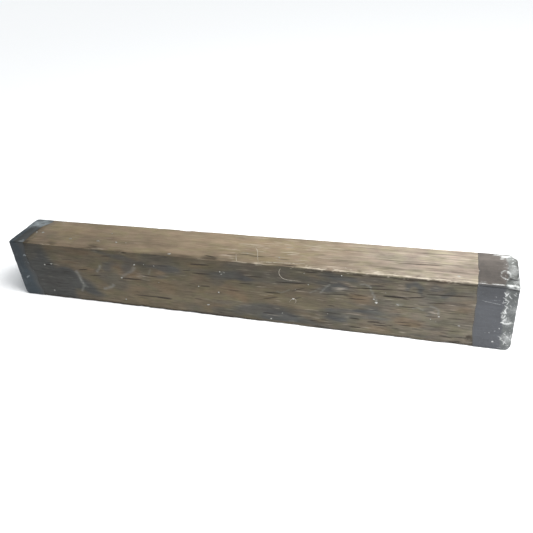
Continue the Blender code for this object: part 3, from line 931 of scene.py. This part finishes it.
def make_left_coat():
    """The shallow coat: a dark glossy film with a pale glaze at the back and a few flakes."""
    plan = CoatPlan(-1, roll=0.35 * MM, columns=420, side_rows=46, roll_rows=7, end_rows=40)
    skin, points, normals, rim = coat_grid(plan)
    flat = stacked(skin.x, points[..., 1], points[..., 2])
    past_rim = rim - skin.x
    lip = ease(past_rim, 0, 0.6 * MM)
    line = plan.tip + LEFT_BEAD + 0.5 * MM * noise_on(points * [0, 1, 1], (1, 2 * MM, 2 * MM), 181)
    bead = 1 - ease(skin.x, line - 0.4 * MM, line + 0.4 * MM)
    clots = noise_on(flat, (1.1 * MM, 1.0 * MM, 1.0 * MM), 182, 60)

    dip = FILM_DIP * (1 - bead) + 0.03 * MM * (1 - lip) + sway(points) * (1 - 0.5 * bead)
    calm = 1 - 0.6 * ease(-normals[..., 0], 0.7, 1.0)
    dip += bead * (0.04 * MM + 0.035 * MM * clots * calm) + (1 - bead) * 0.012 * MM * (1 + clots)

    for side, x0, up0, x1, up1, width, strength in LEFT_FLAKES:
        skin.line("crack", side, (x0, up0), (x1, up1), width, strength)
    cracks = skin.layer("crack")
    dip -= 0.04 * MM * cracks
    dip = np.clip(dip, 0, MAX_DIP)
    outer = points - dip[..., None] * normals

    x, y = points[..., 0], points[..., 1]
    reach = np.hypot((x - LEFT_GLAZE[0]) / 2.0, y - LEFT_GLAZE[1]) / (2.8 * MM)
    on_top = points[..., 2] > 2 * MID_HEIGHT - 1.5 * MM
    milk = 0.62 * np.exp(-reach ** 2) * on_top * (0.6 + 0.4 * ease(clots, -1.8, 0.6))
    milk += 0.12 * bead * ease(clots, -0.2, 1.0) + 0.8 * cracks
    facing_up = np.clip(normals[..., 2], 0, 1)
    wander = past_rim + 0.5 * MM * noise_on(flat, (2 * MM, 2 * MM, 2 * MM), 183)
    layers = {
        "milk": np.clip(milk, 0, 1),
        "thick": bead,
        "groove_shade_and_dark_grain": np.zeros(skin.x.shape),
        "top_bleach_and_painted_light": facing_up,
        # painted shade: the sides darker towards the top, as on the wood
        "tone": 1.25 - 0.45 * ease(points[..., 2], 4 * MM, 15 * MM) * (1 - facing_up),
        "rim": (1 - ease(wander, 0.2 * MM, 2.8 * MM)) * (1 - 0.5 * facing_up),
    }
    rings = close_coat(plan, skin, outer, rim)
    return grid_mesh("wax_left_dark", rings, layers, extra=(2, 0), flip=True)


# ------------------------------------------------------------ specks and fibres
def on_side(side, x, across, lift):
    """A point on a side of the wood, lifted off it, with x and across in millimetres."""
    x, across = x * MM, across * MM
    half_y, half_z = WOOD_HALF
    return {
        "front": Vector((x, -half_y - lift, across)),
        "top": Vector((x, across, MID_HEIGHT + half_z + lift)),
        "back": Vector((x, half_y + lift, across)),
        "bottom": Vector((x, across, MID_HEIGHT - half_z - lift)),
    }[side]


SIDE_NORMALS = {
    "front": Vector((0, -1, 0)), "top": Vector((0, 0, 1)),
    "back": Vector((0, 1, 0)), "bottom": Vector((0, 0, -1)),
}

# Specks that stand out, by side: x, height or Y, half length, half height, in millimetres, and
# how bright they are.
NAMED_SPECKS = {
    "front": [
        (-63.9, 12.3, 0.4, 0.32, 0.3), (-61.3, 12.9, 0.6, 0.26, 0.3), (-63.3, 2.6, 0.5, 0.45, 0.1),
        (-37.0, 2.3, 0.45, 0.4, 0.4), (-31.2, 15.6, 0.4, 0.3, 0.5), (-36.6, 10.4, 0.5, 0.28, 0.3),
        (-11.1, 10.2, 0.34, 0.28, 0.6), (-5.0, 8.8, 0.46, 0.34, 0.5), (-8.9, 3.9, 0.85, 0.3, 0.4),
        (-3.4, 15.2, 0.42, 0.22, 0.1), (-2.4, 15.9, 0.3, 0.2, 0.1), (10.4, 1.4, 0.45, 0.32, 0.6),
        (13.9, 3.9, 0.3, 0.2, 0.3), (17.4, 9.3, 0.42, 0.3, 0.8), (40.4, 10.9, 0.6, 0.45, 0.8),
        (39.7, 12.0, 0.42, 0.3, 0.4), (56.6, 8.6, 0.32, 0.25, 0.8), (54.6, 7.5, 0.26, 0.2, 0.5),
        (61.8, 6.3, 0.6, 0.3, 0.2), (46.0, 11.0, 0.7, 0.3, 0.2), (31.2, 18.5, 0.26, 0.22, 0.4),
        (42.8, 14.4, 0.32, 0.2, 0.2), (22.0, 14.6, 0.3, 0.22, 0.2), (56.2, 9.4, 0.24, 0.3, 0.3),
    ],
    "top": [
        (-43.0, 2.0, 0.55, 0.45, 0.0), (-38.9, -2.8, 0.6, 0.42, 0.2), (-45.2, -2.9, 0.95, 0.35, 0.1),
        (-66.8, -0.6, 0.7, 0.55, 0.1), (-69.2, -0.7, 0.6, 0.5, 0.1), (-55.0, -2.9, 0.75, 0.35, 0.0),
        (3.4, -2.7, 0.5, 0.26, 0.0), (13.0, -3.5, 0.45, 0.26, 0.1), (-19.3, -6.6, 0.8, 0.42, 0.2),
        (60.5, -5.0, 0.55, 0.35, 0.3),
    ],
}

# Hair-thin fibres lying on the wood, by side: points of x and height or Y, in millimetres.
FIBRE_RADIUS = 0.09 * MM
FIBRES = {
    "top": [
        [(2.2, 2.7), (3.7, 1.6), (5, 0.3), (5.9, -1.2), (6.5, -3), (7.2, -5), (8, -7)],
        [(1.6, -7), (0.9, -5.4), (0.3, -3.6)], [(8.2, -6.5), (12.5, -6.2), (17, -5.9), (20.9, -5.5)],
    ],
    "front": [
        [(14.6, 19.2), (14, 18.2), (14, 17), (14.9, 15.9), (16.8, 15.5), (20.6, 15.5)],
        [(16, 7.6), (16.7, 8.8), (17.6, 9.4), (18.2, 8.9), (17.9, 7.9), (17.3, 7.4)],
    ],
    "back": [
        [(-20, 12), (-17, 13.6), (-13.2, 13.9), (-9.8, 12.7)], [(30, 5), (33, 6.4), (37.5, 6.6)],
    ],
}


def make_specks():
    """Small flat lumps of spilt wax on the stick's sides, joined in one piece."""
    rng = np.random.default_rng(121)
    specks = [(side, *speck) for side, named in NAMED_SPECKS.items() for speck in named]
    for side, count in (("front", 9), ("top", 4), ("back", 22), ("bottom", 10)):
        low, high = (value / MM for value in SIDE_REACH[side])
        for _ in range(count):
            size = rng.uniform(0.09, 0.2)
            x, across = rng.uniform(-67, 64), rng.uniform(low + 0.4, high - 0.4)
            bright = 0.8 * rng.uniform() ** 2
            specks.append((side, x, across, size * rng.uniform(1, 1.8), size, bright))
    vertices, faces, bright = [], [], []
    for speck in specks:
        add_speck(speck, rng, vertices, faces)
        bright += [speck[-1]] * (len(vertices) - len(bright))
    return plain_mesh("wax_specks", vertices, faces, bright)


def add_speck(speck, rng, vertices, faces):
    """A lens-shaped lump with a ragged outline, sunk a little into the surface."""
    side, x, across, half_x, half_across, _ = speck
    rings, spokes = 3, 10
    normal = SIDE_NORMALS[side]
    along = Vector((1, 0, 0))
    up = Vector((0, 0, 1)) if side in ("front", "back") else Vector((0, 1, 0))
    centre = on_side(side, x, across, 0)
    turn = rng.uniform(-0.5, 0.5)
    wobble = rng.uniform(0.65, 1.3, spokes)
    first = len(vertices)
    for ring in range(rings):
        share = (ring + 1) / rings
        height = (0.05 * (1 - share ** 2) - 0.13 * share ** 6) * MM
        for spoke in range(spokes):
            angle = 2 * math.pi * spoke / spokes
            a = half_x * share * wobble[spoke] * math.cos(angle) * MM
            b = half_across * share * wobble[spoke] * math.sin(angle) * MM
            a, b = a * math.cos(turn) - b * math.sin(turn), a * math.sin(turn) + b * math.cos(turn)
            vertices.append(centre + along * a + up * b + normal * height)
    top = len(vertices)
    vertices.append(centre + normal * 0.055 * MM)
    under = len(vertices)
    vertices.append(centre - normal * 0.16 * MM)
    turned = along.cross(up).dot(normal) < 0
    for spoke in range(spokes):
        after = (spoke + 1) % spokes
        found = [(top, first + spoke, first + after)]
        for ring in range(rings - 1):
            here, there = first + ring * spokes, first + (ring + 1) * spokes
            found.append((here + spoke, there + spoke, there + after, here + after))
        outer = first + (rings - 1) * spokes
        found.append((under, outer + after, outer + spoke))
        faces += [face[::-1] for face in found] if turned else found


def add_tube(side, route, vertices, faces):
    """A thin tube with tapered ends, following a smooth line over a side."""
    sides_round = 8
    normal = SIDE_NORMALS[side]
    knots = np.arange(len(route))
    fine = np.linspace(0, len(route) - 1, 8 * (len(route) - 1) + 1)
    x, across = (smooth_line(knots, np.array(column, float), fine) for column in zip(*route))
    line = [on_side(side, a, b, -0.3 * FIBRE_RADIUS) for a, b in zip(x, across)]
    first = len(vertices)
    for i, point in enumerate(line):
        before, after = line[max(i - 1, 0)], line[min(i + 1, len(line) - 1)]
        aside = normal.cross((after - before).normalized())
        share = i / (len(line) - 1)
        size = 0.3 + 0.7 * math.sqrt(max(0.0, 4 * share * (1 - share)))
        for k in range(sides_round):
            angle = 2 * math.pi * k / sides_round
            spoke = aside * FIBRE_RADIUS * math.cos(angle) + normal * FIBRE_RADIUS * math.sin(angle)
            vertices.append(point + spoke * size)
    for i in range(len(line) - 1):
        here, there = first + i * sides_round, first + (i + 1) * sides_round
        for k in range(sides_round):
            after = (k + 1) % sides_round
            faces.append((here + k, here + after, there + after, there + k))
    last = first + (len(line) - 1) * sides_round
    faces.append(tuple(first + k for k in reversed(range(sides_round))))
    faces.append(tuple(last + k for k in range(sides_round)))


def plain_mesh(name, vertices, faces, bright=None):
    mesh = bpy.data.meshes.new(name)
    mesh.from_pydata([tuple(v) for v in vertices], [], faces)
    if bright is not None:
        mesh.attributes.new("bright", "FLOAT", "POINT").data.foreach_set("value", bright)
    mesh.shade_smooth()
    return add_object(name, mesh)


def make_fibres():
    """Loose hair-thin fibres that lie on the wood, joined in one piece."""
    vertices, faces = [], []
    for side, routes in FIBRES.items():
        for route in routes:
            add_tube(side, route, vertices, faces)
    return plain_mesh("loose_fibres", vertices, faces)


def smooth_line(knots, values, fine):
    """A Catmull-Rom curve through values, read at the fractional knots in fine."""
    padded = np.concatenate([[2 * values[0] - values[1]], values, [2 * values[-1] - values[-2]]])
    index = np.minimum(fine.astype(int), len(knots) - 2)
    t = fine - index
    p0, p1, p2, p3 = (padded[index + k] for k in range(4))
    return 0.5 * (2 * p1 + (p2 - p0) * t + (2 * p0 - 5 * p1 + 4 * p2 - p3) * t ** 2
                  + (3 * p1 - p0 - 3 * p2 + p3) * t ** 3)


# ------------------------------------------------------------ materials
class Shader:
    """Short helpers for building a node material."""

    def __init__(self, name):
        self.material = bpy.data.materials.new(name)
        self.material.use_nodes = True
        self.tree = self.material.node_tree
        self.principled = self.tree.nodes["Principled BSDF"]
        self.coordinates = self.node("ShaderNodeTexCoord").outputs["Object"]

    def node(self, kind, **settings):
        made = self.tree.nodes.new(kind)
        for key, value in settings.items():
            setattr(made, key, value)
        return made

    def feed(self, socket, value):
        if isinstance(value, bpy.types.NodeSocket):
            self.tree.links.new(value, socket)
        else:
            socket.default_value = value

    def noise(self, size, stretch=(1, 1, 1), detail=3.0, roughness=0.55, offset=0.0, turn=0.0):
        """Noise with blobs of about size metres, each axis made longer by stretch."""
        mapping = self.node("ShaderNodeMapping")
        self.feed(mapping.inputs["Vector"], self.coordinates)
        mapping.inputs["Location"].default_value = (offset, offset * 0.7, offset * 1.3)
        mapping.inputs["Rotation"].default_value = (0, turn, turn)
        mapping.inputs["Scale"].default_value = [1 / (size * s) for s in stretch]
        texture = self.node("ShaderNodeTexNoise")
        self.feed(texture.inputs["Vector"], mapping.outputs["Vector"])
        texture.inputs["Scale"].default_value = 1.0
        texture.inputs["Detail"].default_value = detail
        texture.inputs["Roughness"].default_value = roughness
        return texture.outputs["Fac"]

    def attribute(self, name):
        return self.node("ShaderNodeAttribute", attribute_name=name).outputs["Fac"]

    def math(self, operation, first, second=0.0, clamp=False):
        made = self.node("ShaderNodeMath", operation=operation, use_clamp=clamp)
        self.feed(made.inputs[0], first)
        self.feed(made.inputs[1], second)
        return made.outputs[0]

    def spread(self, value, low, high, to_low=0.0, to_high=1.0):
        """value, taken from low..high to to_low..to_high and held there."""
        made = self.node("ShaderNodeMapRange", clamp=True)
        self.feed(made.inputs["Value"], value)
        ends = {"From Min": low, "From Max": high, "To Min": to_low, "To Max": to_high}
        for socket, end in ends.items():
            made.inputs[socket].default_value = end
        return made.outputs["Result"]

    def mix(self, factor, first, second, blend="MIX"):
        made = self.node("ShaderNodeMix", data_type="RGBA", blend_type=blend)
        self.feed(made.inputs["Factor"], factor)
        colours = [socket for socket in made.inputs if socket.type == "RGBA"]
        for socket, colour in zip(colours, (first, second)):
            self.feed(socket, colour if isinstance(colour, bpy.types.NodeSocket) else (*colour, 1.0))
        return [socket for socket in made.outputs if socket.type == "RGBA"][0]

    def value_mix(self, factor, first, second):
        """A number between first and second."""
        part = self.math("MULTIPLY", factor, self.math("SUBTRACT", second, first))
        return self.math("ADD", first, part)

    def scaled(self, colour, factor):
        """A colour times a number."""
        made = self.node("ShaderNodeVectorMath", operation="SCALE")
        self.feed(made.inputs[0], colour)
        self.feed(made.inputs["Scale"], factor)
        return made.outputs["Vector"]

    def ramp(self, factor, stops):
        made = self.node("ShaderNodeValToRGB")
        elements = made.color_ramp.elements
        while len(elements) < len(stops):
            elements.new(0.5)
        for element, (position, colour) in zip(elements, stops):
            element.position = position
            element.color = (*colour, 1.0)
        self.feed(made.inputs["Fac"], factor)
        return made.outputs["Color"]

    def finish(self, colour, roughness, specular=None, normal=None):
        """Sets the surface's look, and returns the material."""
        inputs = self.principled.inputs
        self.feed(inputs["Base Color"], colour)
        self.feed(inputs["Roughness"], roughness)
        if specular is not None:
            inputs["Specular IOR Level"].default_value = specular
        if normal is not None:
            self.feed(inputs["Normal"], normal)
        return self.material

    def bump(self, height, distance, strength=1.0, normal=None):
        made = self.node("ShaderNodeBump")
        made.inputs["Strength"].default_value = strength
        made.inputs["Distance"].default_value = distance
        self.feed(made.inputs["Height"], height)
        if normal is not None:
            self.feed(made.inputs["Normal"], normal)
        return made.outputs["Normal"]


# Colours of the wood's sides and of its top, where it is stained and where it is dry: the top is partly
# bleached, and the sides are darker than it partly as painted shade.
SIDE_WOOD_WITH_PAINTED_SHADE = ((0.108, 0.089, 0.059), (0.119, 0.104, 0.078))
TOP_WOOD = ((0.166, 0.130, 0.086), (0.209, 0.176, 0.139))
RUSTY_WOOD = (0.150, 0.100, 0.060)
STAINED_WOOD = (0.052, 0.055, 0.056)
PALE_FIBRE = (0.33, 0.29, 0.235)
SMEARED_WAX = (0.17, 0.17, 0.155)
DIRT_AND_PAINTED_SHADE = (0.026, 0.020, 0.014)
OPEN_PORE = (0.014, 0.011, 0.009)
GROOVE_SHADE_AND_DARK_GRAIN = (0.012, 0.012, 0.012)
GRAIN_TURN = 0.012  # the grain runs this many radians off the stick's axis
WOOD_GLOSS = 0.15


def grain(shader):
    """The wood's fibres: fine lines, broad bands, soft mottling and long streaks."""
    fine = shader.noise(0.36 * MM, (11, 1, 1), 3.0, 0.6, 0.0, GRAIN_TURN)
    bands = shader.noise(1.6 * MM, (9, 1, 1), 2.5, 0.5, 3.1, GRAIN_TURN)
    mottle = shader.noise(3.2 * MM, (1.7, 1, 1), 3.0, 0.55, 7.7, GRAIN_TURN)
    streaks = shader.noise(0.55 * MM, (30, 1, 1), 3.0, 0.6, 15.0, GRAIN_TURN)
    return fine, bands, mottle, streaks


def blended(shader, parts):
    """A weighted sum of values."""
    total = None
    for value, weight in parts:
        part = shader.math("MULTIPLY", value, weight)
        total = part if total is None else shader.math("ADD", total, part)
    return total


def wood_material():
    shader = Shader("aged_hardwood_fine")
    fine, bands, mottle, streaks = grain(shader)
    hair = shader.noise(0.15 * MM, (18, 1, 1), 2.0, 0.6, 11.0, GRAIN_TURN)
    dry = shader.attribute("dry")
    top_bleach_and_painted_light = shader.attribute("top_bleach_and_painted_light")
    rough_sawn = blended(shader, [(fine, 0.34), (bands, 0.24), (mottle, 0.27), (hair, 0.15)])
    drawn_out = blended(shader, [(fine, 0.16), (streaks, 0.44), (mottle, 0.28), (hair, 0.12)])
    lined_side = shader.spread(top_bleach_and_painted_light, 0, 1, 0.45, 1.0)
    lined = shader.math("MULTIPLY", lined_side, shader.spread(dry, 0, 1, 0.45, 1.0))
    tone = shader.value_mix(lined, rough_sawn, drawn_out)
    # sides against top: the top partly bleached, the sides darker partly as painted shade
    colour = shader.mix(top_bleach_and_painted_light, shader.mix(dry, *SIDE_WOOD_WITH_PAINTED_SHADE), shader.mix(dry, *TOP_WOOD))
    # slow drifts of hue: olive, neutral and a purplish brown
    drift = shader.noise(2.6 * MM, (1.6, 1, 1), 2.0, 0.5, 23.0)
    colour = shader.mix(1.0, colour, shader.ramp(drift, [
        (0.38, (0.98, 1.01, 0.94)), (0.50, (1.0, 1.0, 1.0)), (0.62, (1.02, 0.985, 1.01)),
    ]), blend="MULTIPLY")
    rust = shader.spread(shader.attribute("rust"), 0.0, 1.0, 0.0, 0.8)
    colour = shader.mix(rust, colour, RUSTY_WOOD)
    stain = shader.spread(shader.attribute("grey"), 0.0, 1.0, 0.0, 0.85)
    colour = shader.mix(stain, colour, STAINED_WOOD)
    light = shader.ramp(tone, [(0.37, (0.52,) * 3), (0.47, (0.86,) * 3), (0.53, (1.08,) * 3),
                               (0.65, (1.50,) * 3)])
    light = shader.mix(shader.spread(dry, 0, 1, 0.66, 1.0), (1.0,) * 3, light)
    colour = shader.mix(1.0, colour, light, blend="MULTIPLY")
    # the tone layer multiplies in painted light: the sides lighter towards the bottom and darker towards
    # the top
    colour = shader.scaled(colour, shader.attribute("tone"))
    # the dark layer: dirt, stains and wear, and painted shade along the bottom front edge
    shade = shader.spread(shader.attribute("dark"), 0.0, 1.0, 0.0, 0.85)
    colour = shader.mix(shade, colour, DIRT_AND_PAINTED_SHADE)
    wisps = shader.spread(shader.math("ADD", fine, shader.math("MULTIPLY", hair, 0.6)), 0.66, 0.92)
    pale = shader.math("MULTIPLY", shader.attribute("pale"), wisps, clamp=True)
    colour = shader.mix(pale, colour, PALE_FIBRE)
    smear = shader.math("MULTIPLY", shader.attribute("smear"), shader.spread(hair, 0.3, 0.6, 0.55, 1.0))
    colour = shader.mix(smear, colour, SMEARED_WAX)
    pore = shader.spread(shader.attribute("pore"), 0.10, 0.80, 0.0, 0.9)
    colour = shader.mix(pore, colour, OPEN_PORE)
    rough = shader.spread(fine, 0.3, 0.7, 0.72, 0.55)
    relief = shader.bump(fine, 0.05 * MM, 0.4)
    relief = shader.bump(hair, 0.02 * MM, 0.4, relief)
    return shader.finish(colour, rough, WOOD_GLOSS, relief)


def wax_material(name, side_film_with_painted_reflection, film_top, rim_colour, thick_wax, milk_colour, grain_share, gloss):
    """Wax over wood: the grain shows faintly through the film, and milky wax hides it. The film on the
    sides is painted blue-grey, partly as a painted reflection of the bluish sky.
    """
    shader = Shader(name)
    fine, bands, mottle, _ = grain(shader)
    cloud = shader.noise(0.9 * MM, (1, 1, 1), 4.0, 0.6, 5.0)
    grit = shader.noise(0.22 * MM, (1, 1, 1), 3.0, 0.6, 9.0)
    tone = blended(shader, [(fine, 0.25), (bands, 0.25), (mottle, 0.3), (cloud, 0.2)])
    # the sides' film is painted blue-grey, partly as a painted reflection
    film = shader.mix(shader.attribute("top_bleach_and_painted_light"), side_film_with_painted_reflection, film_top)
    lit = shader.ramp(tone, [(0.38, (1 - grain_share,) * 3), (0.62, (1 + grain_share,) * 3)])
    colour = shader.mix(1.0, film, lit, blend="MULTIPLY")
    colour = shader.mix(shader.attribute("rim"), colour, rim_colour)
    thick = shader.math("MULTIPLY", shader.attribute("thick"), shader.spread(cloud, 0.35, 0.65, 0.35, 1.0))
    colour = shader.mix(thick, colour, thick_wax)
    # the tone layer multiplies in painted shade: the sides darker towards the top
    colour = shader.scaled(colour, shader.attribute("tone"))
    ragged = shader.math("ADD", shader.attribute("milk"), shader.spread(grit, 0.3, 0.7, -0.16, 0.16))
    milk = shader.spread(ragged, 0.10, 0.95)
    colour = shader.mix(milk, colour, milk_colour)
    # painted shade in the grooves, and dark grain showing through the film
    groove_shade_and_dark_grain = shader.spread(shader.attribute("groove_shade_and_dark_grain"), 0.15, 0.8, 0.0, 0.92)
    colour = shader.mix(groove_shade_and_dark_grain, colour, GROOVE_SHADE_AND_DARK_GRAIN)
    rough = shader.spread(shader.math("ADD", cloud, milk), 0.4, 1.5, 0.30, 0.52)
    relief = shader.bump(cloud, 0.05 * MM, 0.35)
    relief = shader.bump(grit, 0.03 * MM, 0.4, relief)
    return shader.finish(colour, rough, gloss, relief)


def speck_material():
    shader = Shader("spilt_wax_fine")
    grit = shader.noise(0.15 * MM, (1, 1, 1), 2.0, 0.5, 1.0)
    dull = shader.ramp(grit, [(0.3, (0.085, 0.083, 0.072)), (0.7, (0.15, 0.148, 0.13))])
    colour = shader.mix(shader.attribute("bright"), dull, (0.46, 0.46, 0.43))
    return shader.finish(colour, shader.spread(grit, 0.3, 0.7, 0.4, 0.6))


def fibre_material():
    shader = Shader("pale_fibre_fine")
    patchy = shader.noise(0.8 * MM, (1, 1, 1), 2.0, 0.5, 2.0)
    colour = shader.ramp(patchy, [(0.35, (0.15, 0.13, 0.10)), (0.65, (0.33, 0.295, 0.24))])
    return shader.finish(colour, shader.spread(patchy, 0.3, 0.7, 0.5, 0.7))


# ------------------------------------------------------------ camera, floor and light
CAMERA_PLACE = (0.3802, -0.8991, 0.6908)  # from the origin, in stick lengths
CAMERA_AZIMUTH = 20.08  # degrees round from the front, towards +X
CAMERA_ELEVATION = 31.90  # degrees above the horizon
CAMERA_ROLL = -5.72  # degrees
CAMERA_LENS = 39.43  # mm, on a 36 mm sensor
FLOOR_HALF = 4.0
FLOOR_GAP = 0.01 * MM  # between the stick and the floor
SKY_COLOUR = (0.93, 0.97, 1.0, 1.0)
SKY_STRENGTH = 0.53
SUN_STRENGTH = 2.3
SUN_SPREAD = 45  # degrees
SUN_DIRECTION = (-0.60, 0.16, -0.78)
LAMP_SIZE = 0.16
LAMP_POWER = 0.85
LAMP_PLACE = (0.135, -0.03, 0.20)
LAMP_TARGET = (0.05, 0, 0)


def make_camera():
    camera = add_object("camera", bpy.data.cameras.new("camera"))
    azimuth, elevation = math.radians(CAMERA_AZIMUTH), math.radians(CAMERA_ELEVATION)
    forward = Vector((-math.sin(azimuth) * math.cos(elevation),
                      math.cos(azimuth) * math.cos(elevation), -math.sin(elevation)))
    camera.location = Vector(CAMERA_PLACE) * LENGTH
    camera.rotation_mode = "QUATERNION"
    roll = Quaternion((0, 0, 1), math.radians(CAMERA_ROLL))
    camera.rotation_quaternion = forward.to_track_quat("-Z", "Y") @ roll
    camera.data.lens = CAMERA_LENS
    camera.data.clip_start = 0.01
    camera.data.clip_end = 20.0
    bpy.context.scene.camera = camera


def make_floor():
    half = FLOOR_HALF
    mesh = bpy.data.meshes.new("floor")
    corners = [(-half, -half, 0), (half, -half, 0), (half, half, 0), (-half, half, 0)]
    mesh.from_pydata(corners, [], [(0, 1, 2, 3)])
    floor = add_object("floor", mesh)
    floor.location.z = CAD_LOW.z - FLOOR_GAP
    shader = Shader("pale_floor")
    grit = shader.noise(2 * MM, (1, 1, 1), 2.0)
    colour = shader.ramp(grit, [(0.3, (0.86, 0.86, 0.86)), (0.7, (0.88, 0.88, 0.88))])
    mesh.materials.append(shader.finish(colour, 0.9, 0.1))


def aim(obj, direction):
    obj.rotation_mode = "QUATERNION"
    obj.rotation_quaternion = Vector(direction).to_track_quat("-Z", "Y")


def make_light():
    world = bpy.data.worlds.new("studio")
    bpy.context.scene.world = world
    world.use_nodes = True
    background = world.node_tree.nodes["Background"]
    background.inputs["Color"].default_value = SKY_COLOUR
    background.inputs["Strength"].default_value = SKY_STRENGTH

    sun = add_object("sun", bpy.data.lights.new("sun", "SUN"))
    sun.data.energy = SUN_STRENGTH
    sun.data.angle = math.radians(SUN_SPREAD)
    aim(sun, SUN_DIRECTION)

    lamp = add_object("lamp", bpy.data.lights.new("lamp", "AREA"))
    lamp.data.shape = "DISK"
    lamp.data.size = LAMP_SIZE
    lamp.data.energy = LAMP_POWER
    lamp.location = LAMP_PLACE
    aim(lamp, Vector(LAMP_TARGET) - lamp.location)
    bpy.context.scene.view_settings.view_transform = "Standard"


# ------------------------------------------------------------ putting it together
make_camera()
make_floor()
make_light()

wood = make_wood()
wood.data.materials.append(wood_material())
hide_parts("wood_stick")

right_coat = make_right_coat()
right_coat.data.materials.append(wax_material(
    "milky_wax_fine", side_film_with_painted_reflection=(0.045, 0.048, 0.055), film_top=(0.066, 0.057, 0.050),
    rim_colour=(0.060, 0.056, 0.050), thick_wax=(0.088, 0.095, 0.090),
    milk_colour=(0.52, 0.53, 0.52), grain_share=0.24, gloss=0.35))
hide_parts("wax_coat_right")

left_coat = make_left_coat()
left_coat.data.materials.append(wax_material(
    "dark_wax_fine", side_film_with_painted_reflection=(0.016, 0.024, 0.030), film_top=(0.014, 0.015, 0.014),
    rim_colour=(0.034, 0.035, 0.034), thick_wax=(0.020, 0.027, 0.033),
    milk_colour=(0.21, 0.235, 0.245), grain_share=0.25, gloss=0.20))
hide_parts("wax_coat_left")

specks = make_specks()
specks.data.materials.append(speck_material())

fibres = make_fibres()
fibres.data.materials.append(fibre_material())

for piece in (wood, right_coat, left_coat, specks, fibres):
    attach(piece, "root")
